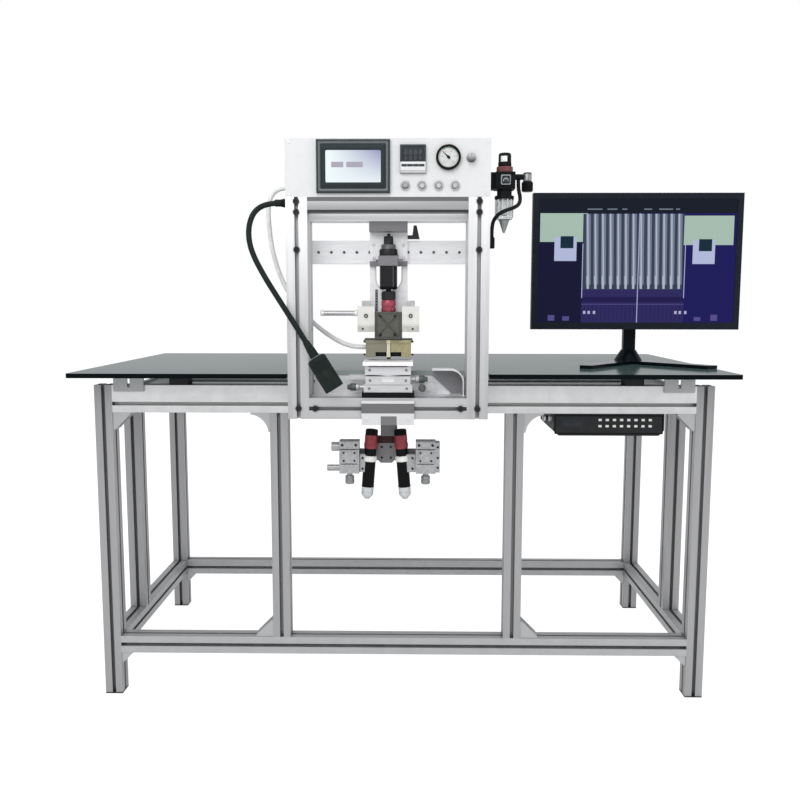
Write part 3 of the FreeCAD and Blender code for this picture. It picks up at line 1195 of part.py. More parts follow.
# Small controller that hangs under the front rail
def controller():
    owner = body("controller_box", ("unit_left", "running_gap", "unit_z"))
    made = sketch(owner, "XZ")
    bevel = "unit_chamfer"
    polygon(made, [(bevel, "0"), ("unit_wide - " + bevel, "0"), ("unit_wide", bevel),
                   ("unit_wide", "unit_tall"), ("0", "unit_tall"), ("0", bevel)])
    pad(owner, made, "unit_deep", True)
    window = sketch(owner, "XZ")
    rectangle(window, "unit_wide * 0.17", "unit_tall * 0.58", "unit_window_wide", "unit_window_tall")
    pocket(owner, window, "key_proud")
    keys = sketch(owner, "XZ")
    for row in range(int(value("key_rows"))):
        for i in range(int(value("key_count"))):
            rectangle(keys, "unit_wide * 0.42 + %d * key_pitch" % i,
                      "unit_tall * 0.44 + %d * key_row_pitch" % row, "key_wide", "key_tall")
    pad(owner, keys, "key_proud")
    plug = sketch(owner, "YZ")
    circle(plug, "unit_deep / 8", "unit_tall - plug_wide", "plug_wide")
    pad(owner, plug, "plug_long", True)


# Work lamp, glands and the two hoses
# The lamp's route is counted from where it leaves its gland.
LAMP_ROUTE = [(0, 0, 0), (-24.5, 0, 0), (-50.5, -12, -13), (-63.5, -19, -39), (-65.5, -26, -72),
              (-56.5, -32, -107), (-30.5, -39, -155), (3.5, -44, -208),
              (33.5, -value("lamp_forward"), -255), (55.5, -value("lamp_forward"), -291)]
CABLE_ROUTE = [(-255.5, 30, 1164), (-272, 30, 1164), (-288.5, 30, 1154.5), (-298, 30, 1138),
               (-301, 30, 1112), (-299, 30, 1078), (-295, 30, 1040), (-286, 30, 1000),
               (-271, 30, 958), (-249, 30, 919), (-221, 26, 885), (-192, 17, 858),
               (-163, 1, 838), (-135, -17, 823.5), (-106, -30, 815), (-80, -30, 815)]
TUBE_ROUTE = [(243, -60, 1168.5), (243, -60, 1150), (247, -67, 1132), (244, -79, 1117),
              (232, -89, 1108), (215, -90, 1103), (200, -83, 1096), (190.5, -71, 1084),
              (188.3, -62, 1068), (188.3, -62, 1050)]


def lamp():
    end, before = V(*LAMP_ROUTE[-1]), V(*LAMP_ROUTE[-2])
    aim = FreeCAD.Rotation(V(0, 0, 1), end - before)
    root = ("lamp_root_x", "lamp_gland_y", "lamp_gland_z")
    spot = tuple("%s + (%s)" % (place_name, offset) for place_name, offset in zip(root, end))
    neck = turned("lamp_neck_cone", [("0", "0"), ("arm_wide + 2", "0"), ("lamp_neck_wide", "lamp_neck"),
                                     ("0", "lamp_neck")], spot, turn=aim)
    shade = turned("lamp_shade", [("0", "lamp_neck"), ("lamp_wide - 8", "lamp_neck"),
                                  ("lamp_wide", "lamp_neck + 6"), ("lamp_wide", "lamp_neck + lamp_long"),
                                  ("lamp_wide - 2 * lamp_wall", "lamp_neck + lamp_long"),
                                  ("lamp_wide - 2 * lamp_wall", "lamp_neck + lamp_long - lamp_lens_sink"),
                                  ("0", "lamp_neck + lamp_long - lamp_lens_sink")], spot, turn=aim)
    arm = tube("lamp_arm_tube", LAMP_ROUTE, "arm_wide", root)
    fuse("work_lamp", [arm, neck, shade])


def glands_and_hoses():
    items = []
    for y, z in (("cable_y", "cable_z"), ("lamp_gland_y", "lamp_gland_z")):
        nut = [("0", "0"), ("gland_wide", "0"), ("gland_wide", "gland_long / 2"),
               ("gland_bore + 3", "gland_long"), ("0", "gland_long")]
        items.append(turned("gland", nut, ("gantry_left", y, z), "-X"))
    nut = [("0", "0"), ("elbow_wide - 3", "0"), ("elbow_wide", "2"), ("elbow_wide", "elbow_tall - 4"),
           ("elbow_wide - 2", "elbow_tall"), ("0", "elbow_tall")]
    items.append(turned("tube_elbow", nut, ("box_right + elbow_wide / 2 + seat_gap", "elbow_y",
                                            "elbow_z - elbow_tall")))
    group("cable_glands", items)
    tube("thermode_cable", CABLE_ROUTE, "cable_wide")
    tube("air_tube", TUBE_ROUTE, "tube_wide")


def check_and_write(nodes):
    """Stops if any object failed, then writes each node's solids to its own file."""
    doc.recompute()
    failed = [item.Name for item in doc.Objects
              if "Invalid" in item.State or "Error" in item.State]
    if failed:
        raise RuntimeError("failed objects: %s" % failed)
    os.makedirs("parts", exist_ok=True)
    for name in nodes:
        item = doc.getObject(name)
        item.Label = name
        shape = item.Shape
        if shape.isNull() or not shape.isValid() or not shape.Solids:
            raise RuntimeError("bad shape: %s" % name)
        shape.exportStep("parts/%s.step" % name)
        print("%-24s solids %2d volume %10.0f" % (name, len(shape.Solids), shape.Volume))


NODES = """corner_legs mid_legs front_top_rail frame_rails leg_end_caps frame_brackets glass_top
glass_pads base_plate gantry_uprights gantry_beams frame_bolts head_cross_bar control_box
control_panel hmi_bezel temp_controller gauge_case gauge_needle selector_knob button_bezels
push_button_1 push_button_2 push_button_3 push_button_4 cable_glands air_unit_body
air_unit_bowl air_unit_knob valve_grip air_tube work_lamp thermode_cable head_back_plate
head_top_block air_cylinder stroke_knob head_carriage pressure_adjuster cylinder_rod
head_wings tape_roller thermode platform_plinth platform_x_slide platform_y_slide work_plate
x_thimble y_thimble theta_thimble camera_hanger left_camera_slide right_camera_slide
left_camera right_camera left_focus_thimble right_focus_thimble monitor_panel monitor_stand
controller_box""".split()

table_frame()
frame_brackets()
glass_top()
gantry()
base_plate()
bolts()
cross_bar()
control_box()
panel_units()
air_unit()
head_mount()
head_slide()
platform()
camera_hanger()
camera_side("left", "left_slide_x", "gantry_x + camera_left", "-1")
camera_side("right", "right_slide_x", "gantry_x + camera_right", "1")
monitor()
controller()
lamp()
glands_and_hoses()
check_and_write(NODES)
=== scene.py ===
"""Dresses the bonding machine: the finish of every surface, the screens, dials, knurled knobs,
lenses, fasteners and the two hoses, in a plain pale studio."""
import bmesh
import bpy
import math
from mathutils import Matrix, Vector


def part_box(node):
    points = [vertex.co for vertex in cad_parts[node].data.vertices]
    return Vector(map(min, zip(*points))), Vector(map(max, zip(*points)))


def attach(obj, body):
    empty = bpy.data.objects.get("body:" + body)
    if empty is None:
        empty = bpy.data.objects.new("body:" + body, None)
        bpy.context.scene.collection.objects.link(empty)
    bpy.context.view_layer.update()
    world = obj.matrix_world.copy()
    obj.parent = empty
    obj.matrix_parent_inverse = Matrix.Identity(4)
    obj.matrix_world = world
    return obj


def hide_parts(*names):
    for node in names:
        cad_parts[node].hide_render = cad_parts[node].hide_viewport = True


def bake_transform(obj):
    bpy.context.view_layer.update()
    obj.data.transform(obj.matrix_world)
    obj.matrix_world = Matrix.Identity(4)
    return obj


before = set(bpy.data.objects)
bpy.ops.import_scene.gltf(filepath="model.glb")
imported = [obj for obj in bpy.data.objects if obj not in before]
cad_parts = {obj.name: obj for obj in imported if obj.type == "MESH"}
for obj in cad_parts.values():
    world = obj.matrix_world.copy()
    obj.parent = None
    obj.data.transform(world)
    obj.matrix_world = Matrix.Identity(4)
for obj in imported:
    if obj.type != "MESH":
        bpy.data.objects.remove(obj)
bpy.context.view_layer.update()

# The frame's origin, counted from the middle of the table's front, in millimetres
CENTRE_X, CENTRE_Y = 49, 248


def spot(x, y, z):
    """A place counted in millimetres from the middle of the table's front, at the floor."""
    return Vector(((x - CENTRE_X) / 1000, (y - CENTRE_Y) / 1000, z / 1000))


def mm(length):
    return length / 1000


def local(x, y, z):
    """A step in millimetres."""
    return Vector((x, y, z)) / 1000


# Camera: the photograph's view, fitted on the table's outline
CAMERA_SPOT = spot(19.3, -1885.2, 911.2)
CAMERA_YAW, CAMERA_PITCH, CAMERA_ROLL = 0.0137, -0.1143, 0.001
FOCAL_PIXELS, FRAME_PIXELS = 845.9, 800


def placed(name, data):
    """A new object in the scene."""
    item = bpy.data.objects.new(name, data)
    bpy.context.scene.collection.objects.link(item)
    return item


def make_camera():
    data = bpy.data.cameras.new("camera")
    data.sensor_width = 36
    data.lens = FOCAL_PIXELS / FRAME_PIXELS * data.sensor_width
    data.clip_end = 100
    camera = placed("camera", data)
    camera.matrix_world = (Matrix.Translation(CAMERA_SPOT) @ Matrix.Rotation(CAMERA_YAW, 4, "Z")
                           @ Matrix.Rotation(math.pi / 2 + CAMERA_PITCH, 4, "X")
                           @ Matrix.Rotation(CAMERA_ROLL, 4, "Z"))
    bpy.context.scene.camera = camera


# The direction that the front faces look in
AHEAD = (0, -1, 0)


# Meshes
def turned_to(axis, at):
    """A matrix that lays +Z along an axis and moves the origin to a place."""
    return Matrix.Translation(at) @ Vector(axis).to_track_quat("Z", "Y").to_matrix().to_4x4()


def piece(name, build, materials, body, stands_for=(), sharp=32):
    """A mesh that rides on a body; build fills it, and each named material is a slot of it."""
    shape = bmesh.new()
    build(shape)
    bmesh.ops.recalc_face_normals(shape, faces=shape.faces)
    mesh = bpy.data.meshes.new(name)
    shape.to_mesh(mesh)
    shape.free()
    for material in materials.split():
        mesh.materials.append(MATERIALS[material])
    mesh.polygons.foreach_set("use_smooth", [True] * len(mesh.polygons))
    mesh.set_sharp_from_angle(angle=math.radians(sharp))
    item = placed(name, mesh)
    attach(item, body)
    if stands_for:
        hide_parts(*stands_for)


def slab(shape, first, last, bevel=0.0, mat=0, matrix=None):
    """A box between two corners with rounded edges, in metres."""
    first, last = Vector(first), Vector(last)
    known = set(shape.faces)
    made = bmesh.ops.create_cube(shape, size=1)["verts"]
    for vert in made:
        vert.co = (first + last) / 2 + Vector(c * s for c, s in zip(vert.co, last - first))
    if bevel:
        edges = dict.fromkeys(edge for vert in made for edge in vert.link_edges)
        bmesh.ops.bevel(shape, geom=list(edges), offset=bevel, segments=2, profile=0.6,
                        affect="EDGES")
    faces = [face for face in shape.faces if face not in known]
    for face in faces:
        face.material_index = mat
    if matrix:
        verts = {vert for face in faces for vert in face.verts}
        bmesh.ops.transform(shape, matrix=matrix, verts=list(verts))


def lathe(shape, outline, at, axis=(0, 0, 1), steps=48, mats=0, teeth=None):
    """A turned form about an axis: outline lists (radius, height) in millimetres.

    mats is one material slot, or one for each stretch of the outline. teeth maps a stretch's
    index to (count, depth): its two rings get a knurled edge.
    """
    matrix = turned_to(axis, at)
    toothed = {}
    for stretch, (count, depth) in (teeth or {}).items():
        toothed[stretch] = toothed[stretch + 1] = (count, depth)
    if toothed:
        steps = max(count for count, _ in toothed.values()) * 2
    rings = []
    for index, (radius, height) in enumerate(outline):
        if radius <= 0:
            rings.append([shape.verts.new(matrix @ local(0, 0, height))])
            continue
        ring = []
        for i in range(steps):
            turn = 2 * math.pi * i / steps
            bite = toothed[index][1] if index in toothed and i % 2 else 0
            out = mm(radius - bite)
            ring.append(shape.verts.new(
                matrix @ Vector((out * math.cos(turn), out * math.sin(turn), mm(height)))))
        rings.append(ring)
    for index, (ring, above) in enumerate(zip(rings, rings[1:])):
        mat = mats if isinstance(mats, int) else mats[index]
        for i in range(steps):
            corners = []
            for source, k in ((ring, i), (ring, i + 1), (above, i + 1), (above, i)):
                vert = source[k % len(source)]
                if vert not in corners:
                    corners.append(vert)
            if len(corners) > 2:
                shape.faces.new(corners).material_index = mat


def prism(shape, outline, at, axis, depth, mat=0, up=(0, 0, 1)):
    """A flat outline in millimetres, (across, up), pushed along an axis by a depth."""
    axis, up = Vector(axis), Vector(up)
    across = up.cross(axis).normalized()
    near = [shape.verts.new(at + across * mm(x) + up * mm(z)) for x, z in outline]
    far = [shape.verts.new(vert.co + axis * mm(depth)) for vert in near]
    faces = [shape.faces.new(near), shape.faces.new(far)]
    count = len(near)
    for i in range(count):
        j = (i + 1) % count
        faces.append(shape.faces.new((near[i], near[j], far[j], far[i])))
    for face in faces:
        face.material_index = mat


def screw(shape, at, axis, wide, tall, mat=0):
    """A socket head with a rounded rim and a six-sided recess."""
    rim, half = min(wide * 0.08, tall * 0.3), wide / 2
    lathe(shape, [(half, 0), (half, tall - rim), (half - rim, tall), (half * 0.56, tall)], at,
          axis, 24, mat)
    lathe(shape, [(half * 0.56, tall), (half * 0.5, tall * 0.45), (0, tall * 0.4)],
          at, axis, 6, mat)


def screws(shape, xs, y, zs, wide, tall, mat=0):
    """A grid of screws that face the front, in millimetres."""
    for x in xs:
        for z in zs:
            screw(shape, spot(x, y, z), AHEAD, wide, tall, mat)


def front(shape, left, right, low_z, top_z, y, proud, mat=0, bevel=0.2):
    """A thin plate on a face that looks to the front, in millimetres."""
    slab(shape, spot(left, y - proud, low_z), spot(right, y + 0.4, top_z),
         mm(min(bevel, proud * 0.45)), mat)


def rim(shape, centre, rings, mats=0, close=False, corner=2.5):
    """A rounded rectangular frame to the front; each ring is (half width, half height, proud)."""
    made = []
    for half_x, half_z, proud in rings:
        ring = []
        for side_x, side_z, start in ((1, 1, 0), (-1, 1, 90), (-1, -1, 180), (1, -1, 270)):
            for i in range(5):
                turn = math.radians(start + 22.5 * i)
                ring.append(shape.verts.new(centre + local(
                    side_x * (half_x - corner) + corner * math.cos(turn), -proud,
                    side_z * (half_z - corner) + corner * math.sin(turn))))
        made.append(ring)
    for ring, above in zip(made, made[1:]):
        for i in range(20):
            j = (i + 1) % 20
            shape.faces.new((ring[i], ring[j], above[j], above[i])).material_index = mats
    if close:
        shape.faces.new(made[-1]).material_index = mats


def figure(shape, text, size, where, mat):
    """A raised figure that faces the front, centred on a place, size in millimetres."""
    data = bpy.data.curves.new("figure", "FONT")
    data.body = text
    data.size = mm(size)
    data.align_x, data.align_y = "CENTER", "CENTER"
    holder = bpy.data.objects.new("figure", data)
    mesh = bpy.data.meshes.new_from_object(holder)
    mesh.transform(Matrix.Translation(where) @ Matrix.Rotation(math.pi / 2, 4, "X"))
    known = len(shape.faces)
    shape.from_mesh(mesh)
    shape.faces.ensure_lookup_table()
    for face in shape.faces[known:]:
        face.material_index = mat
    bpy.data.objects.remove(holder)
    bpy.data.curves.remove(data)
    bpy.data.meshes.remove(mesh)


def route_line(points, steps=12):
    """The smooth line of a route: a spline with the points as its control points."""
    data = bpy.data.curves.new("route", "CURVE")
    data.dimensions = "3D"
    data.resolution_u = steps
    spline = data.splines.new("NURBS")
    spline.points.add(len(points) - 1)
    for control, place in zip(spline.points, points):
        control.co = (*place, 1)
    spline.order_u = 3
    spline.use_endpoint_u = True
    return data


def line_points(points, steps=12):
    """Places along a route's smooth line, in order."""
    data = route_line(points, steps)
    holder = bpy.data.objects.new("route", data)
    mesh = bpy.data.meshes.new_from_object(holder)
    places = [vert.co.copy() for vert in mesh.vertices]
    bpy.data.objects.remove(holder)
    bpy.data.curves.remove(data)
    bpy.data.meshes.remove(mesh)
    return places


def resampled(places, gap):
    """Places at an even gap along a line."""
    out, need = [places[0].copy()], gap
    for a, b in zip(places, places[1:]):
        run = (b - a).length
        while need <= run:
            out.append(a.lerp(b, need / run))
            need += gap
        need -= run
    if (out[-1] - places[-1]).length > gap * 0.3:
        out.append(places[-1].copy())
    else:
        out[-1] = places[-1].copy()
    return out


def hose(shape, places, radius_at, mat=0, steps=20):
    """A tube along places; radius_at gives its radius in metres at each one."""
    rings = []
    side = None
    for i, place in enumerate(places):
        ahead = (places[min(i + 1, len(places) - 1)] - places[max(i - 1, 0)]).normalized()
        side = ahead.orthogonal().normalized() if side is None else (
            side - ahead * side.dot(ahead)).normalized()
        other = ahead.cross(side)
        radius = radius_at(i)
        rings.append([shape.verts.new(place + radius * (side * math.cos(t) + other * math.sin(t)))
                      for t in (2 * math.pi * k / steps for k in range(steps))])
    for ring, above in zip(rings, rings[1:]):
        for k in range(steps):
            n = (k + 1) % steps
            shape.faces.new((ring[k], ring[n], above[n], above[k])).material_index = mat
    for ring in (rings[0], rings[-1]):
        shape.faces.new(ring).material_index = mat


# Materials by name, which each Finish adds itself to
MATERIALS = {}
# A colour Mix node's sockets
MIX_FIRST, MIX_SECOND, MIX_RESULT = 6, 7, 2
# A black surface mirrors little of the pale studio, and a lit screen neither
DARK_BELOW, DARK_SHINE, SCREEN_SHINE = 0.07, 0.09, 0.08
# What the places in the masks are counted from
SHIFT = {"X": CENTRE_X, "Y": CENTRE_Y, "Z": 0}


class Finish:
    """A Principled material that is built up from procedural texture nodes."""

    def __init__(self, name, colour, rough=0.5, metal=0.0, edge=0.5):
        material = MATERIALS[name] = bpy.data.materials.new(name)
        material.use_nodes = True
        self.tree = material.node_tree
        self.shader = self.tree.nodes["Principled BSDF"]
        self.set("Base Color", (*colour, 1))
        self.set("Roughness", rough)
        self.set("Metallic", metal)
        if max(colour) < DARK_BELOW:
            self.set("Specular IOR Level", DARK_SHINE)
        self.colour = colour
        self.rough = rough
        self.normal = None
        if edge:
            bevel = self.node("Bevel")
            bevel.samples = 4
            bevel.inputs["Radius"].default_value = mm(edge)
            self.normal = bevel.outputs[0]
            self.link(self.normal, "Normal")

    def node(self, kind, **values):
        made = self.tree.nodes.new("ShaderNode" + kind)
        for key, value in values.items():
            setattr(made, key, value)
        return made

    def set(self, socket, value):
        self.shader.inputs[socket].default_value = value
        return self

    def link(self, output, socket):
        target = self.shader.inputs[socket] if isinstance(socket, str) else socket
        self.tree.links.new(output, target)

    def source(self, socket):
        """What a socket of the shader is linked to."""
        return self.shader.inputs[socket].links[0].from_socket

    def place(self, scale=(1, 1, 1)):
        where = self.node("TexCoord").outputs["Object"]
        mapping = self.node("Mapping")
        mapping.inputs["Scale"].default_value = scale
        self.link(where, mapping.inputs[0])
        return mapping.outputs[0]

    def noise(self, size, detail=3, stretch=(1, 1, 1), rough=0.55):
        """Noise whose grains are about size millimetres, drawn out along a stretched axis."""
        texture = self.node("TexNoise")
        texture.inputs["Scale"].default_value = 1
        texture.inputs["Detail"].default_value = detail
        texture.inputs["Roughness"].default_value = rough
        self.link(self.place([1 / mm(size) / s for s in stretch]), texture.inputs["Vector"])
        return texture.outputs[0]

    def spread(self, source, bottom, top, begin=0.35, end=0.65):
        """Maps a source's middle range to two numbers."""
        ramp = self.node("MapRange")
        for key, value in (("From Min", begin), ("From Max", end), ("To Min", bottom),
                           ("To Max", top)):
            ramp.inputs[key].default_value = value
        self.link(source, ramp.inputs["Value"])
        return ramp.outputs[0]

    def mix(self, amount, first, second):
        blend = self.node("Mix", data_type="RGBA")
        for value, index in ((amount, 0), (first, MIX_FIRST), (second, MIX_SECOND)):
            socket = blend.inputs[index]
            if isinstance(value, bpy.types.NodeSocket):
                self.link(value, socket)
            elif isinstance(value, (int, float)):
                socket.default_value = value
            else:
                socket.default_value = (*value, 1)
        return blend.outputs[MIX_RESULT]

    def mottle(self, size, share=0.06, stretch=(1, 1, 1), gloss=0.06):
        """Slight changes of tone and gloss over the surface."""
        tone = self.noise(size, stretch=stretch)
        dark = [c * (1 - share) for c in self.colour]
        light = [min(1, c * (1 + share)) for c in self.colour]
        self.link(self.mix(self.spread(tone, 0, 1), dark, light), "Base Color")
        self.link(self.spread(tone, self.rough - gloss, self.rough + gloss), "Roughness")
        return self

    def grain(self, size, height=0.02, stretch=(1, 1, 1), strength=0.35):
        """A fine relief, height in millimetres."""
        bump = self.node("Bump")
        bump.inputs["Strength"].default_value = strength
        bump.inputs["Distance"].default_value = mm(height)
        self.link(self.noise(size, detail=2, stretch=stretch), bump.inputs["Height"])
        if self.normal:
            self.link(self.normal, bump.inputs["Normal"])
        self.normal = bump.outputs[0]
        self.link(self.normal, "Normal")
        return self

    def crevice_shade(self, reach, dark=0.25):
        """Painted shade: darkens the base colour in narrow slots and inside corners, where shade
        falls.
        """
        shade = self.node("AmbientOcclusion", samples=6)
        shade.inputs["Distance"].default_value = mm(reach)
        black = [c * dark for c in self.colour]
        amount = self.spread(shade.outputs["AO"], 0, 1, 0.15, 0.75)
        self.link(self.mix(amount, black, self.source("Base Color")), "Base Color")
        return self

    def along(self, axis):
        """How far a point lies along an axis, in metres."""
        split = self.node("SeparateXYZ")
        self.link(self.place(), split.inputs[0])
        return split.outputs["XYZ".index(axis)]

    def within(self, axis, begin, end):
        """1 between two places on an axis, in millimetres from the table's front, else 0."""
        test = self.node("Math", operation="COMPARE")
        test.inputs[1].default_value = mm((begin + end) / 2 - SHIFT[axis])
        test.inputs[2].default_value = mm(abs(end - begin) / 2)
        self.link(self.along(axis), test.inputs[0])
        return test.outputs[0]

    def fade(self, axis, begin, end, first, last):
        """Painted light and shade: scales the base colour from one share to another between two
        places on an axis.
        """
        share = self.spread(self.along(axis), first, last, mm(begin - SHIFT[axis]),
                            mm(end - SHIFT[axis]))
        blend = self.node("Mix", data_type="RGBA", blend_type="MULTIPLY")
        blend.inputs[0].default_value = 1
        self.link(self.source("Base Color"), blend.inputs[MIX_FIRST])
        self.link(share, blend.inputs[MIX_SECOND])
        self.link(blend.outputs[MIX_RESULT], "Base Color")
        return self

    def both(self, first, second):
        """1 where two masks are 1."""
        product = self.node("Math", operation="MULTIPLY")
        self.link(first, product.inputs[0])
        self.link(second, product.inputs[1])
        return product.outputs[0]

    def repaint(self, mask, colour, rough=None):
        """Puts another colour and gloss where a mask is 1."""
        self.link(self.mix(mask, self.source("Base Color"), colour), "Base Color")
        if rough is not None:
            change = self.node("Mix", data_type="FLOAT")
            self.link(mask, change.inputs[0])
            self.link(self.source("Roughness"), change.inputs[2])
            change.inputs[3].default_value = rough
            self.link(change.outputs[0], "Roughness")
        return self

    def band(self, colour, *spans, rough=None):
        """Repaints where each span, (axis, begin, end), holds."""
        mask = self.within(*spans[0])
        for span in spans[1:]:
            mask = self.both(mask, self.within(*span))
        return self.repaint(mask, colour, rough)

    def glow(self, colour, strength):
        self.set("Emission Color", (*colour, 1))
        return self.set("Emission Strength", strength)


def glow_material(name, colour, strength=1.0, rough=0.25):
    """A lit patch of a screen: it glows in its own colour and hardly reflects."""
    made = Finish(name, [c * 0.04 for c in colour], rough, edge=0).glow(colour, strength)
    grain = made.spread(made.noise(1.6, 1), strength * 0.93, strength * 1.07)
    made.link(grain, "Emission Strength")
    made.set("Specular IOR Level", SCREEN_SHINE)


def glass_sheet():
    """Tinted glass: green-grey from above, black at its outer edges, pale round the platform, a
    painted reflection on the edges there.
    """
    made = Finish("tinted_glass", (0.20, 0.27, 0.25), 0.1, edge=1.0)
    split = made.node("SeparateXYZ")
    made.link(made.node("NewGeometry").outputs["Normal"], split.inputs[0])
    upward = made.node("Math", operation="ABSOLUTE")
    made.link(split.outputs[2], upward.inputs[0])
    tone = made.mix(made.spread(made.noise(260, 2), 0, 1), (0.055, 0.088, 0.084),
                    (0.068, 0.10, 0.096))
    # Painted reflection: the edges round the platform pale, the outer edges black.
    inner = made.both(made.within("X", -262, 200), made.within("Y", -90, 110))
    side = made.mix(inner, (0.004, 0.006, 0.007), (0.30, 0.34, 0.33))
    made.link(made.mix(made.spread(upward.outputs[0], 0, 1, 0.3, 0.8), side, tone), "Base Color")
    made.set("IOR", 1.08)


# The fields of the monitor's picture
GLOWS = {
    "navy_glow": (0.007, 0.007, 0.033), "deep_glow": (0.011, 0.010, 0.095),
    "black_glow": (0.008, 0.011, 0.020), "pale_glow": (0.36, 0.48, 0.41),
    "mark_glow": (0.007, 0.024, 0.042), "stripe_glow": (0.16, 0.19, 0.25),
    "core_glow": (0.40, 0.43, 0.52), "violet_glow": (0.026, 0.021, 0.105),
    "line_glow": (0.42, 0.42, 0.62), "tab_glow": (0.42, 0.46, 0.66),
    "blob_glow": (0.09, 0.07, 0.24), "gap_glow": (0.035, 0.05, 0.085),
    "band_glow": (0.014, 0.010, 0.068),
}


